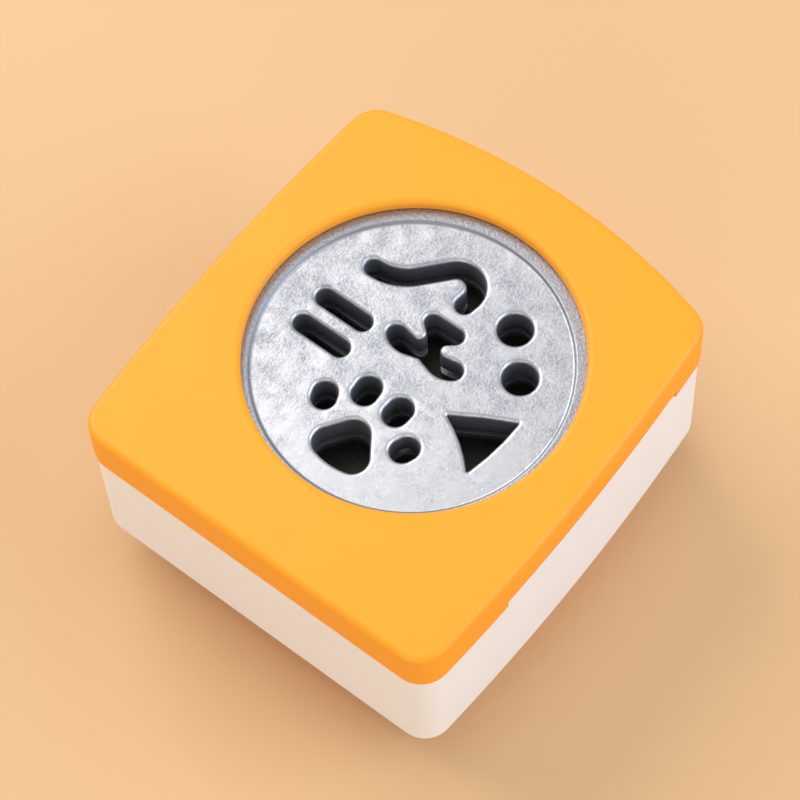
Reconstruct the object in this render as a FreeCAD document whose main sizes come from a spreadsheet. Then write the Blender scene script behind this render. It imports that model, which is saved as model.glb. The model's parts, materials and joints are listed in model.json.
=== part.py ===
"""Nori punch: a hand tool that cuts twelve small shapes out of a strip of nori.

The tool lies on its press button with the die face up. +Z is up, X runs along the nori slot, and the wall
that bulges is the rear one, at +Y. The origin is the middle of the base of the whole tool, where it rests.
Pushing the press button towards the die drives the punches up through the guide plate, across the slot and
into the die plate. Four springs round the guide posts bring it back.
"""
import FreeCAD, Part
import Sketcher
import math
import os
from FreeCAD import Vector
from types import SimpleNamespace

doc = FreeCAD.newDocument("nori_punch")

# ---------------------------------------------------------------- driving dimensions, in mm and degrees
SIZES = [
    # casing outline, seen from above
    ("casing_width", 58.6, "width over the slightly bulging slot sides"),
    ("side_bulge", 1.3, "how far each slot side stands out at its middle"),
    ("casing_length", 64.7, "length from the straight front to the crown of the rear bulge"),
    ("rear_bulge", 4.5, "how far the rear wall stands out at its middle"),
    ("corner_round", 4.2, "radius of the four corners"),
    # casing heights
    ("casing_height", 27.4, "from the body's underside to the top of the cover"),
    ("press_proud", 6.0, "how far the press button stands out of the body at rest"),
    ("cover_height", 7.5, "from the parting line to the top of the cover"),
    ("top_round", 1.0, "rounding of the cover's top edge"),
    ("base_round", 0.6, "rounding of the body's lower edge"),
    # casing walls
    ("roof", 1.9, "thickness of the cover's top"),
    ("cover_wall", 2.0, "thickness of the cover's skirt"),
    ("body_inset", 0.25, "how far the body steps in below the cover"),
    ("body_wall", 2.0, "thickness of the body's sides"),
    ("ledge", 2.0, "thickness of the body's underside round the button"),
    ("tongue_inset", 1.2, "outer face of the body's locating tongue, inside the cover's face"),
    ("tongue_height", 1.2, "height of that tongue"),
    ("tongue_play", 0.1, "clearance round the tongue"),
    # window and slot
    ("window_radius", 22.3, "radius of the round window"),
    ("window_round", 0.6, "rounding of the window's rim"),
    ("window_shift", 1.75, "window centre behind the middle of the casing"),
    ("slot_land", 6.0, "edges of the nori slot inside the die plate's edge"),
    ("slot_gap", 1.6, "height of the nori slot"),
    # die plate
    ("die_lip", 2.0, "how far the die plate reaches under the cover, beyond the window"),
    ("die_thickness", 4.0, "thickness of the die plate at its ring"),
    ("disc_inset", 1.2, "sunk middle of the die plate inside the window's edge"),
    ("disc_step", 0.4, "depth of the sunk middle"),
    ("rim_round", 0.45, "rounding of the upper rim of each opening"),
    ("lead_in", 0.8, "chamfer that leads the nori under the die plate"),
    ("locating_play", 0.2, "clearance between the die plate and its locating ring"),
    ("locating_wall", 1.2, "thickness of the locating ring"),
    ("locating_depth", 3.0, "depth of the locating ring"),
    # guide plate
    ("guide_thickness", 3.5, "thickness of the guide plate"),
    ("guide_gap", 0.3, "clearance between the guide plate and the body"),
    ("rail_length", 38.0, "length of the rails beside the slot"),
    ("rail_width", 5.0, "width of the rails beside the slot"),
    # press button
    ("press_inset", 6.5, "button's outline inside the casing's outline"),
    ("press_corner", 16.0, "corner radius of the button"),
    ("press_play", 0.35, "clearance between the button and the body"),
    ("press_floor", 2.0, "thickness of the button's face"),
    ("press_wall", 1.8, "thickness of the button's side"),
    ("press_round", 1.5, "rounding of the button's pressed edge"),
    ("flange_width", 1.2, "how far the button's flange stands out over the ledge"),
    ("flange_thickness", 1.5, "thickness of the button's flange"),
    ("flange_gap", 0.05, "gap between flange and ledge at rest"),
    ("stroke", 5.5, "travel of the press button"),
    # punch carrier and punches
    ("carrier_width", 42.0, "size of the carrier along the slot"),
    ("carrier_margin", 1.9, "carrier's edge beyond the spring holes"),
    ("carrier_corner", 7.0, "corner radius of the carrier"),
    ("carrier_thickness", 2.5, "thickness of the carrier"),
    ("carrier_drop", 7.5, "carrier's top below the guide plate at rest"),
    ("seat_depth", 1.5, "depth of the punch seats in the carrier"),
    ("tip_drop", 1.0, "punch tips below the slot's floor at rest"),
    ("die_play", 0.08, "clearance between a punch and its die opening"),
    ("guide_play", 0.08, "clearance between a punch and its guide opening"),
    ("seat_play", 0.02, "clearance left round a punch or post in its seat"),
    # guide posts and springs
    ("post_radius", 1.5, "radius of a guide post"),
    ("post_spread", 14.0, "guide posts from the middle, along the slot"),
    ("post_front", 21.5, "front guide posts from the window centre"),
    ("post_rear", 16.0, "rear guide posts from the window centre"),
    ("post_seat", 2.5, "depth of a post's seat in the guide plate"),
    ("post_end_gap", 0.4, "gap under a post when the button is home"),
    ("post_bevel", 0.3, "chamfer on the ends of a post"),
    ("post_play", 0.06, "clearance between a post and its guide bore"),
    ("sleeve_wall", 0.94, "wall of the button's guide sleeves"),
    ("spring_length", 11.0, "length of a return spring at rest"),
    ("spring_radius", 2.2, "mean radius of a spring coil"),
    ("spring_wire", 0.6, "diameter of the spring wire"),
    ("spring_turns", 6.5, "turns of a return spring"),
    ("spring_play", 0.6, "clearance between a spring and its hole"),
    ("spring_end_gap", 0.05, "clearance left at each end of a spring"),
    # screws
    ("casing_screw_radius", 1.25, "casing screws, outer radius of the thread"),
    ("casing_screw_head", 2.3, "casing screws, head radius"),
    ("casing_screw_head_height", 1.8, "casing screws, head height"),
    ("casing_screw_depth", 4.6, "how far a casing screw enters the cover's boss"),
    ("casing_screw_sink", 8.0, "seat of a casing screw's head above the body's underside"),
    ("casing_screw_inset", 5.2, "casing screws from the front and from the side corners"),
    ("casing_screw_rear_inset", 4.2, "casing screws from the rear corners"),
    ("casing_post_wall", 0.9, "wall of the body's screw posts"),
    ("cover_boss_wall", 1.35, "wall of the cover's screw bosses"),
    ("die_screw_radius", 1.0, "die screws, outer radius of the thread"),
    ("die_screw_head", 1.9, "die screws, head radius"),
    ("die_screw_head_height", 1.2, "die screws, head height"),
    ("die_screw_depth", 2.8, "how far a die screw enters the die plate"),
    ("die_screw_edge", 1.83, "die screws inside the die plate's edge"),
    ("die_screw_rail", 2.5, "die screws from the slot's edge"),
    ("carrier_screw_radius", 1.1, "carrier screws, outer radius of the thread"),
    ("carrier_screw_head", 2.0, "carrier screws, head radius"),
    ("carrier_screw_head_height", 1.4, "carrier screws, head height"),
    ("carrier_screw_depth", 7.0, "how far a carrier screw enters its boss"),
    ("carrier_screw_spread", 18.3, "carrier screws from the middle, along the slot"),
    ("carrier_screw_reach", 9.2, "carrier screws from the window centre, across the slot"),
    ("carrier_boss_wall", 1.9, "wall of the button's bosses under the carrier"),
    ("head_play", 0.2, "clearance round a sunk screw head"),
    ("thread_play", 0.02, "clearance left round a thread"),
    ("shank_play", 0.2, "clearance where a screw only passes through"),
    ("pilot_spare", 0.4, "depth of a pilot hole beyond the screw's tip"),
    ("recess_width", 0.7, "width of a screw's cross recess"),
    ("recess_length", 2.4, "length of a screw's cross recess"),
    ("recess_depth", 0.7, "depth of a screw's cross recess"),
    ("head_round", 0.35, "rounding of a screw head"),
    ("screw_bevel", 0.4, "chamfer on the tip of a screw"),
    # the twelve openings: x and y are from the window centre
    ("motif_window", 22.3, "window radius that the openings below are drawn for"),
    # whiskers: two short bars
    ("whisker_length", 8.65, "length of a whisker"),
    ("whisker_width", 2.6, "width of a whisker"),
    ("whisker_x", -11.98, "middle of the whiskers"),
    ("whisker_upper_y", 0.62, "upper whisker"),
    ("whisker_lower_y", -4.1, "lower whisker"),
    # eyes: two round holes
    ("eye_radius", 2.33, "radius of an eye"),
    ("eye_left_x", 7.6, "left eye"),
    ("eye_left_y", 11.6, "left eye"),
    ("eye_right_x", 12.35, "right eye"),
    ("eye_right_y", 6.3, "right eye"),
    # paw: four toes and a pad, mirrored about its middle line, which the muzzle shares
    ("middle_x", 0.2, "middle line of the paw and the muzzle"),
    ("toe_inner_width", 3.36, "width of an inner toe"),
    ("toe_inner_height", 4.36, "height of an inner toe"),
    ("toe_inner_spread", 2.55, "inner toes from the middle line"),
    ("toe_inner_y", -6.9, "inner toes"),
    ("toe_inner_tilt", 4.0, "inner toes lean outwards by this angle"),
    ("toe_outer_width", 3.24, "width of an outer toe"),
    ("toe_outer_height", 3.96, "height of an outer toe"),
    ("toe_outer_spread", 6.5, "outer toes from the middle line"),
    ("toe_outer_y", -10.65, "outer toes"),
    ("toe_outer_tilt", 22.0, "outer toes lean outwards by this angle"),
    ("pad_top_round", 2.2, "radius of the pad's top"),
    ("pad_top_y", -12.95, "centre of that radius"),
    ("pad_low_round", 2.15, "radius of the pad's lower corners"),
    ("pad_low_spread", 1.9, "centres of the lower corners from the middle line"),
    ("pad_low_y", -15.55, "centres of the lower corners"),
    ("pad_sole_rise", 7.55, "centre of the sole's arc above the lower corners"),
    # muzzle: a nose and two cheeks
    ("nose_round", 1.15, "radius of the nose's two ends"),
    ("nose_spread", 1.75, "centres of the nose's ends from the middle line"),
    ("nose_y", 6.15, "centres of the nose's ends"),
    ("nub_round", 0.95, "radius of the metal between nose and cheek"),
    ("nub_spread", 2.25, "centre of that radius from the middle line"),
    ("nub_y", 3.85, "centre of that radius"),
    ("cheek_round", 1.3, "radius of a cheek's end"),
    ("cheek_spread", 4.56, "centre of a cheek's end from the middle line"),
    ("cheek_y", 1.99, "centre of a cheek's end"),
    ("chin_round", 3.8, "radius of a cheek's lower edge"),
    ("chin_angle", 128.5, "direction from a cheek's end to the centre of its lower edge"),
    ("cleft_round", 0.85, "radius of the metal between the cheeks"),
    ("cleft_y", 0.0, "centre of that radius"),
    # ear: a triangle with bowed sides
    ("ear_tip_round", 0.15, "radius of the ear's three tips"),
    ("ear_left_x", 8.3, "left tip"),
    ("ear_left_y", -3.45, "left tip"),
    ("ear_low_x", 14.85, "lower tip"),
    ("ear_low_y", -8.1, "lower tip"),
    ("ear_high_x", 15.9, "upper tip"),
    ("ear_high_y", 0.85, "upper tip"),
    ("ear_low_bow", -0.4, "bow of the lower side, negative where it is hollow"),
    ("ear_right_bow", 0.3, "bow of the right side"),
    ("ear_high_bow", 0.15, "bow of the upper side"),
    # tail: a band of even width that sweeps up and hooks over
    ("tail_width", 2.5, "width of the tail"),
    ("tail_x", -12.7, "start of the tail's middle line"),
    ("tail_y", 7.92, "start of the tail's middle line"),
    ("tail_sweep_round", 7.26, "radius of the upward sweep"),
    ("tail_slope", 48.4, "angle that the sweep turns through"),
    ("tail_run", 4.5, "straight between sweep and hook"),
    ("tail_hook_round", 2.65, "radius of the hook"),
    ("tail_hook_turn", 147.9, "angle that the hook turns through"),
    ("tail_end_run", 1.0, "straight at the end of the hook"),
]

dims = doc.addObject("Spreadsheet::Sheet", "dims")
for row, (alias, value, meaning) in enumerate(SIZES, start=1):
    dims.set(f"A{row}", alias)
    dims.set(f"B{row}", str(value))
    dims.set(f"C{row}", meaning)
    dims.setAlias(f"B{row}", alias)
doc.recompute()

# The same sizes read back from the sheet, for what is worked out in code.
S = SimpleNamespace(**{alias: float(dims.get(alias)) for alias, value, meaning in SIZES})

# ---------------------------------------------------------------- tolerances
SAME_LENGTH = 1e-4  # mm; lengths and heights that differ by less count as equal
LEAST_RUN = 1e-6  # mm; a straight that is shorter isn't drawn
ROUNDING = 1e-9  # error of a number that should be exact

# ---------------------------------------------------------------- shared heights, as expressions
BASE = "dims.press_proud"
TOP = f"({BASE} + dims.casing_height)"
PARTING = f"({TOP} - dims.cover_height)"
ROOF_UNDER = f"({TOP} - dims.roof)"
LEDGE_TOP = f"({BASE} + dims.ledge)"
TONGUE_TOP = f"({PARTING} + dims.tongue_height)"
SLOT_TOP = f"({PARTING} + dims.slot_gap)"
DIE_TOP = f"({SLOT_TOP} + dims.die_thickness)"
DISC_TOP = f"({DIE_TOP} - dims.disc_step)"
GUIDE_UNDER = f"({PARTING} - dims.guide_thickness)"
CARRIER_TOP = f"({GUIDE_UNDER} - dims.carrier_drop)"
CARRIER_UNDER = f"({CARRIER_TOP} - dims.carrier_thickness)"
SEAT = f"({CARRIER_TOP} - dims.seat_depth)"
TIP = f"({PARTING} - dims.tip_drop)"
SLEEVE_TOP = f"({GUIDE_UNDER} - dims.spring_length)"
FLANGE_UNDER = f"({LEDGE_TOP} + dims.flange_gap)"
POST_LOW = "(dims.press_floor + dims.stroke + dims.post_end_gap)"
POST_HIGH = f"({GUIDE_UNDER} + dims.post_seat)"
CASING_HEAD_SEAT = f"({BASE} + dims.casing_screw_sink)"

# ---------------------------------------------------------------- the casing's outline, as expressions
HALF_LENGTH = "(dims.casing_length / 2)"
CORNER_X = "(dims.casing_width / 2 - dims.side_bulge)"
CORNER_Y = f"({HALF_LENGTH} - dims.rear_bulge)"
SIDE_CHORD = "(dims.casing_length - dims.rear_bulge)"
SIDE_RADIUS = f"((({SIDE_CHORD} / 2)^2 + dims.side_bulge^2) / (2 * dims.side_bulge))"
SIDE_CENTRE_X = f"(dims.casing_width / 2 - {SIDE_RADIUS})"
SIDE_CENTRE_Y = "(-dims.rear_bulge / 2)"
REAR_RADIUS = f"(({CORNER_X}^2 + dims.rear_bulge^2) / (2 * dims.rear_bulge))"
REAR_CENTRE_Y = f"({HALF_LENGTH} - {REAR_RADIUS})"

# ---------------------------------------------------------------- places that several parts share
WINDOW_Y = "dims.window_shift"
WINDOW = [("0", WINDOW_Y)]
DIE_RADIUS = "(dims.window_radius + dims.die_lip)"
DISC_RADIUS = "(dims.window_radius - dims.disc_inset)"
SLOT_HALF = f"({DIE_RADIUS} - dims.slot_land)"
SLOT_FRONT = f"({WINDOW_Y} - {SLOT_HALF})"
SLOT_REAR = f"({WINDOW_Y} + {SLOT_HALF})"
DIE_SCREW_REACH = f"({SLOT_HALF} + dims.die_screw_rail)"
DIE_SCREW_SPREAD = f"sqrt(({DIE_RADIUS} - dims.die_screw_edge)^2 - {DIE_SCREW_REACH}^2)"
CORNERS = ("front_left", "front_right", "rear_right", "rear_left")


def four(x, front, rear):
    """Four places, mirrored about the middle, in the order of CORNERS."""
    return [(f"(-{x})", front), (x, front), (x, rear), (f"(-{x})", rear)]


POSTS = four("dims.post_spread", f"({WINDOW_Y} - dims.post_front)", f"({WINDOW_Y} + dims.post_rear)")
CASING_SCREWS = four(
    f"({CORNER_X} - dims.casing_screw_inset)",
    f"(dims.casing_screw_inset - {HALF_LENGTH})",
    f"({CORNER_Y} - dims.casing_screw_rear_inset)",
)
DIE_SCREWS = four(DIE_SCREW_SPREAD, f"({WINDOW_Y} - {DIE_SCREW_REACH})", f"({WINDOW_Y} + {DIE_SCREW_REACH})")
CARRIER_SCREWS = four(
    "dims.carrier_screw_spread",
    f"({WINDOW_Y} - dims.carrier_screw_reach)",
    f"({WINDOW_Y} + dims.carrier_screw_reach)",
)


# ---------------------------------------------------------------- helpers for sketches
def worth(expression):
    """The number that an expression stands for."""
    return float(dims.evalExpression(expression))


def new_sketch(body, name, height):
    """A sketch on the body's own XY plane, lifted to a height."""
    sketch = body.newObject("Sketcher::SketchObject", name)
    plane = [feature for feature in body.Origin.OriginFeatures if feature.Role == "XY_Plane"][0]
    sketch.AttachmentSupport = [(plane, "")]
    sketch.MapMode = "FlatFace"
    sketch.setExpression("AttachmentOffset.Base.z", height)
    return sketch


def bind(sketch, constraint, expression):
    """Adds a constraint whose value follows an expression."""
    index = sketch.addConstraint(constraint)
    sketch.setExpression(f"Constraints[{index}]", expression)


def pin(sketch, curve, point, x, y):
    """Holds a point of a curve at x and y, which are expressions."""
    for kind, axis, expression in (("DistanceX", -2, x), ("DistanceY", -1, y)):
        value = worth(expression)
        if abs(value) < ROUNDING:
            sketch.addConstraint(Sketcher.Constraint("PointOnObject", curve, point, axis))
        elif value > 0:
            bind(sketch, Sketcher.Constraint(kind, -1, 1, curve, point, value), expression)
        else:
            bind(sketch, Sketcher.Constraint(kind, curve, point, -1, 1, -value), f"-({expression})")


def add_circles(sketch, places, radius):
    """Equal circles at places, which are pairs of expressions."""
    for x, y in places:
        centre = Vector(worth(x), worth(y), 0)
        circle = sketch.addGeometry(Part.Circle(centre, Vector(0, 0, 1), worth(radius)))
        pin(sketch, circle, 3, x, y)
        bind(sketch, Sketcher.Constraint("Radius", circle, worth(radius)), radius)


def add_rectangle(sketch, x1, y1, x2, y2):
    """A rectangle between two corners, whose coordinates are expressions."""
    left, low, right, high = (worth(expression) for expression in (x1, y1, x2, y2))
    corners = [Vector(left, low), Vector(right, low), Vector(right, high), Vector(left, high)]
    sides = [sketch.addGeometry(Part.LineSegment(a, b)) for a, b in zip(corners, corners[1:] + corners[:1])]
    for one, following in zip(sides, sides[1:] + sides[:1]):
        sketch.addConstraint(Sketcher.Constraint("Coincident", one, 2, following, 1))
    for level, upright in zip(sides[::2], sides[1::2]):
        sketch.addConstraint(Sketcher.Constraint("Horizontal", level))
        sketch.addConstraint(Sketcher.Constraint("Vertical", upright))
    pin(sketch, sides[0], 1, x1, y1)
    pin(sketch, sides[2], 1, x2, y2)


def arc(centre, start, end):
    """The anticlockwise arc from start to end."""
    circle = Part.Circle(centre, Vector(0, 0, 1), (start - centre).Length)
    first = math.atan2(start.y - centre.y, start.x - centre.x)
    last = math.atan2(end.y - centre.y, end.x - centre.x)
    return Part.ArcOfCircle(circle, first, last)


def flipped(point):
    """The point mirrored about the casing's middle line."""
    return Vector(-point.x, point.y, 0)


def front_meeting(inset):
    """Where the right side meets the front, on the outline moved in by inset."""
    y = inset - worth(HALF_LENGTH)
    radius = worth(SIDE_RADIUS) - inset
    return Vector(worth(SIDE_CENTRE_X) + math.sqrt(radius ** 2 - (y - worth(SIDE_CENTRE_Y)) ** 2), y, 0)


def rear_meeting(inset):
    """Where the right side meets the rear, on the outline moved in by inset."""
    side = Vector(worth(SIDE_CENTRE_X), worth(SIDE_CENTRE_Y), 0)
    rear = Vector(0, worth(REAR_CENTRE_Y), 0)
    side_radius = worth(SIDE_RADIUS) - inset
    rear_radius = worth(REAR_RADIUS) - inset
    apart = (rear - side).Length
    ahead = (rear - side) * (1 / apart)
    along = (side_radius ** 2 - rear_radius ** 2 + apart ** 2) / (2 * apart)
    return side + ahead * along + Vector(-ahead.y, ahead.x, 0) * math.sqrt(side_radius ** 2 - along ** 2)


def beyond(centre, point, radius):
    """The point at a radius from centre, in line with the given point."""
    return centre + (point - centre).normalize() * radius


def add_outline(sketch, inset, corner):
    """The casing's outline moved in by inset: a straight front, two bulging sides and a bulging rear.

    The centre of a corner lies where the sides meet on the outline moved in by inset and corner radius.
    """
    gap = worth(inset)
    bend = worth(corner)
    side = Vector(worth(SIDE_CENTRE_X), worth(SIDE_CENTRE_Y), 0)
    rear = Vector(0, worth(REAR_CENTRE_Y), 0)
    side_radius = worth(SIDE_RADIUS) - gap
    front_corner = front_meeting(gap + bend)
    rear_corner = rear_meeting(gap + bend)
    front_end = Vector(front_corner.x, gap - worth(HALF_LENGTH), 0)
    side_start = beyond(side, front_corner, side_radius)
    side_end = beyond(side, rear_corner, side_radius)
    rear_start = beyond(rear, rear_corner, worth(REAR_RADIUS) - gap)
    ring = sketch.addGeometry([
        Part.LineSegment(flipped(front_end), front_end),
        arc(front_corner, front_end, side_start),
        arc(side, side_start, side_end),
        arc(rear_corner, side_end, rear_start),
        arc(rear, rear_start, flipped(rear_start)),
        arc(flipped(rear_corner), flipped(rear_start), flipped(side_end)),
        arc(flipped(side), flipped(side_end), flipped(side_start)),
        arc(flipped(front_corner), flipped(side_start), flipped(front_end)),
    ])
    front, low_right, right, high_right, crown, high_left, left, low_left = ring
    for one, following in zip(ring, ring[1:] + ring[:1]):
        sketch.addConstraint(Sketcher.Constraint("Tangent", one, 2, following, 1))
    sketch.addConstraint(Sketcher.Constraint("Horizontal", front))
    from_front = Sketcher.Constraint("DistanceY", front, 1, -1, 1, -front_end.y)
    bind(sketch, from_front, f"{HALF_LENGTH} - {inset}")
    for curve, x, y, radius in (
        (right, SIDE_CENTRE_X, SIDE_CENTRE_Y, SIDE_RADIUS),
        (crown, "0", REAR_CENTRE_Y, REAR_RADIUS),
        (left, f"(-{SIDE_CENTRE_X})", SIDE_CENTRE_Y, SIDE_RADIUS),
    ):
        pin(sketch, curve, 3, x, y)
        bind(sketch, Sketcher.Constraint("Radius", curve, worth(radius) - gap), f"{radius} - {inset}")
    for curve in (low_right, high_right, high_left, low_left):
        bind(sketch, Sketcher.Constraint("Radius", curve, bend), corner)


def add_casing_outline(sketch, inset):
    """The outline moved in by inset, with corners concentric with the casing's."""
    add_outline(sketch, inset, f"(dims.corner_round - {inset})")


# ---------------------------------------------------------------- helpers for bodies and their features
def new_body(name):
    """A body whose label is the name of its node."""
    body = doc.addObject("PartDesign::Body", name)
    body.Label = name
    return body


def pad(body, sketch, length, name):
    """Raises the sketch upwards by length."""
    feature = body.newObject("PartDesign::Pad", name)
    feature.Profile = sketch
    feature.setExpression("Length", length)
    doc.recompute()
    return feature


def pocket(body, sketch, depth, name, upwards=False):
    """Cuts down from the sketch, or up from it, and makes sure that it removes something."""
    before = body.Shape.Volume
    feature = body.newObject("PartDesign::Pocket", name)
    feature.Profile = sketch
    feature.Reversed = upwards
    feature.setExpression("Length", depth)
    doc.recompute()
    if not body.Shape.Volume < before:
        raise RuntimeError(f"{name} removes nothing")
    return feature


def raise_circles(body, places, radius, low, high, name):
    """Equal round posts between two heights."""
    sketch = new_sketch(body, f"{name}_circles", low)
    add_circles(sketch, places, radius)
    return pad(body, sketch, f"{high} - {low}", name)


def drill(body, places, radius, low, high, name):
    """Equal round holes between two heights."""
    sketch = new_sketch(body, f"{name}_circles", high)
    add_circles(sketch, places, radius)
    return pocket(body, sketch, f"{high} - {low}", name)


def level_edges(feature, height):
    """Names of the edges that lie flat at a height."""
    level = worth(height)
    found = []
    for number, edge in enumerate(feature.Shape.Edges, start=1):
        box = edge.BoundBox
        if abs(box.ZMin - level) < SAME_LENGTH and abs(box.ZMax - level) < SAME_LENGTH:
            found.append(f"Edge{number}")
    return found


def is_circle(feature, name, radius):
    """True where the named edge runs on a circle of that radius."""
    curve = feature.Shape.getElement(name).Curve
    return isinstance(curve, Part.Circle) and abs(curve.Radius - radius) < SAME_LENGTH


def rounded(body, feature, edges, radius, name):
    """Rounds edges of the last feature."""
    fillet = body.newObject("PartDesign::Fillet", name)
    fillet.Base = (feature, edges)
    fillet.setExpression("Radius", radius)
    doc.recompute()
    return fillet


def bevelled(body, feature, edges, size, name):
    """Chamfers edges of the last feature."""
    chamfer = body.newObject("PartDesign::Chamfer", name)
    chamfer.Base = (feature, edges)
    chamfer.setExpression("Size", size)
    doc.recompute()
    return chamfer


# ---------------------------------------------------------------- rounded outlines as belts round pulleys
def belt(pulleys, growth=0.0):
    """The curves of a belt run anticlockwise round pulleys, each given as x, y and radius.

    A positive radius has the belt round its outside, and a negative one is pressed in from the other side.
    Growing every radius by the same amount moves the whole belt outwards by it. Pulleys that touch from
    within, which lean by one, share a point and have no straight run between them.
    """
    wheels = [(Vector(x, y, 0), radius + growth) for x, y, radius in pulleys]
    if len(wheels) == 1:
        centre, radius = wheels[0]
        return [Part.Circle(centre, Vector(0, 0, 1), radius)]
    runs = []
    for (start, start_radius), (end, end_radius) in zip(wheels, wheels[1:] + wheels[:1]):
        way = end - start
        lean = (end_radius - start_radius) / way.Length
        if abs(lean) > 1 - ROUNDING:
            lean = math.copysign(1.0, lean)
        heading = math.atan2(way.y, way.x) - math.asin(lean)
        right = Vector(math.sin(heading), -math.cos(heading), 0)
        runs.append((start + right * start_radius, end + right * end_radius))
    curves = []
    for (centre, radius), (_, arrive), (leave, onward) in zip(wheels, runs[-1:] + runs[:-1], runs):
        curves.append(arc(centre, arrive, leave) if radius > 0 else arc(centre, leave, arrive))
        if (onward - leave).Length > LEAST_RUN:
            curves.append(Part.LineSegment(leave, onward))
    return curves


def capsule(x, y, length, width, tilt):
    """Two pulleys that make a rounded bar, turned from upright by tilt."""
    reach = (length - width) / 2
    dx = -math.sin(math.radians(tilt)) * reach
    dy = math.cos(math.radians(tilt)) * reach
    return [(x - dx, y - dy, width / 2), (x + dx, y + dy, width / 2)]


def bow(start, end, rise, tip):
    """The pulley for a side from start to end that bulges by rise, or is hollow where rise is negative."""
    chord = math.hypot(end[0] - start[0], end[1] - start[1])
    radius = (chord ** 2 / 4 + rise ** 2) / (2 * abs(rise))
    sense = math.copysign(1.0, rise)
    off = sense * (radius - abs(rise)) / chord
    x = (start[0] + end[0]) / 2 - (end[1] - start[1]) * off
    y = (start[1] + end[1]) / 2 + (end[0] - start[0]) * off
    return x, y, sense * radius + tip


def mirrored(pulleys):
    """Pulleys mirrored about the middle line, in the order that keeps the belt anticlockwise."""
    return [(2 * S.middle_x - x, y, radius) for x, y, radius in reversed(pulleys)]


def direction(angle):
    """The unit vector at an angle in degrees from +X."""
    return Vector(math.cos(math.radians(angle)), math.sin(math.radians(angle)), 0)


# ---------------------------------------------------------------- the twelve openings, from the window centre
def whisker(y):
    """A level bar."""
    return capsule(S.whisker_x, y, S.whisker_length, S.whisker_width, 90)


def toe(side, spread, y, height, width, tilt):
    """A toe of the paw; side is -1 on the left and 1 on the right."""
    return capsule(S.middle_x + side * spread, y, height, width, -side * tilt)


def inner_toe(side):
    """One of the two toes in the middle."""
    size = (S.toe_inner_height, S.toe_inner_width)
    return toe(side, S.toe_inner_spread, S.toe_inner_y, *size, S.toe_inner_tilt)


def outer_toe(side):
    """One of the two toes at the ends."""
    size = (S.toe_outer_height, S.toe_outer_width)
    return toe(side, S.toe_outer_spread, S.toe_outer_y, *size, S.toe_outer_tilt)


def paw_pad():
    """A rounded triangle: a top, two lower corners and a gently curved sole that touches both."""
    corner = (S.middle_x + S.pad_low_spread, S.pad_low_y, S.pad_low_round)
    sole_round = S.pad_low_round + math.hypot(S.pad_low_spread, S.pad_sole_rise)
    sole = (S.middle_x, S.pad_low_y + S.pad_sole_rise, sole_round)
    top = (S.middle_x, S.pad_top_y, S.pad_top_round)
    return [*mirrored([corner]), sole, corner, top]


def muzzle():
    """A nose over two cheeks, mirrored about the middle line."""
    reach = S.chin_round - S.cheek_round
    lean = direction(S.chin_angle)
    x = S.middle_x + S.cheek_spread
    half = [
        (x + reach * lean.x, S.cheek_y + reach * lean.y, S.chin_round),
        (x, S.cheek_y, S.cheek_round),
        (S.middle_x + S.nub_spread, S.nub_y, -S.nub_round),
        (S.middle_x + S.nose_spread, S.nose_y, S.nose_round),
    ]
    return [(S.middle_x, S.cleft_y, -S.cleft_round), *half, *mirrored(half)]


def ear():
    """A triangle with small tips and bowed sides."""
    left = (S.ear_left_x, S.ear_left_y)
    low = (S.ear_low_x, S.ear_low_y)
    high = (S.ear_high_x, S.ear_high_y)
    tip = S.ear_tip_round
    return [
        (*left, tip),
        bow(left, low, S.ear_low_bow, tip),
        (*low, tip),
        bow(low, high, S.ear_right_bow, tip),
        (*high, tip),
        bow(high, left, S.ear_high_bow, tip),
    ]


def tail():
    """A band along a line that sweeps up to the left, runs straight and hooks over to the right."""
    start = Vector(S.tail_x, S.tail_y, 0)
    sweep = start + Vector(0, S.tail_sweep_round, 0)
    to_left = direction(S.tail_slope + 90)
    hook = sweep - to_left * (S.tail_sweep_round + S.tail_hook_round) + direction(S.tail_slope) * S.tail_run
    heading = S.tail_slope - S.tail_hook_turn
    end = hook + direction(heading + 90) * S.tail_hook_round + direction(heading) * S.tail_end_run
    half = S.tail_width / 2
    return [
        (start.x, start.y, half),
        (sweep.x, sweep.y, half + S.tail_sweep_round),
        (hook.x, hook.y, half - S.tail_hook_round),
        (end.x, end.y, half),
        (hook.x, hook.y, half + S.tail_hook_round),
        (sweep.x, sweep.y, half - S.tail_sweep_round),
    ]


OPENINGS = {
    "whisker_upper": whisker(S.whisker_upper_y),
    "whisker_lower": whisker(S.whisker_lower_y),
    "eye_left": [(S.eye_left_x, S.eye_left_y, S.eye_radius)],
    "eye_right": [(S.eye_right_x, S.eye_right_y, S.eye_radius)],
    "toe_outer_left": outer_toe(-1),
    "toe_inner_left": inner_toe(-1),
    "toe_inner_right": inner_toe(1),
    "toe_outer_right": outer_toe(1),
    "pad": paw_pad(),
    "mouth": muzzle(),
    "ear": ear(),
    "tail": tail(),
}


def opening_sketch(body, names, growth, height, name):
    """A sketch of the named openings, grown by a clearance, with the window's centre as its origin."""
    sketch = new_sketch(body, name, height)
    sketch.setExpression("AttachmentOffset.Base.y", WINDOW_Y)
    scale = S.window_radius / S.motif_window
    for opening in names:
        pulleys = [(x * scale, y * scale, radius * scale) for x, y, radius in OPENINGS[opening]]
        for curve in sketch.addGeometry(belt(pulleys, growth)):
            sketch.addConstraint(Sketcher.Constraint("Block", curve))
    return sketch


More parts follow.
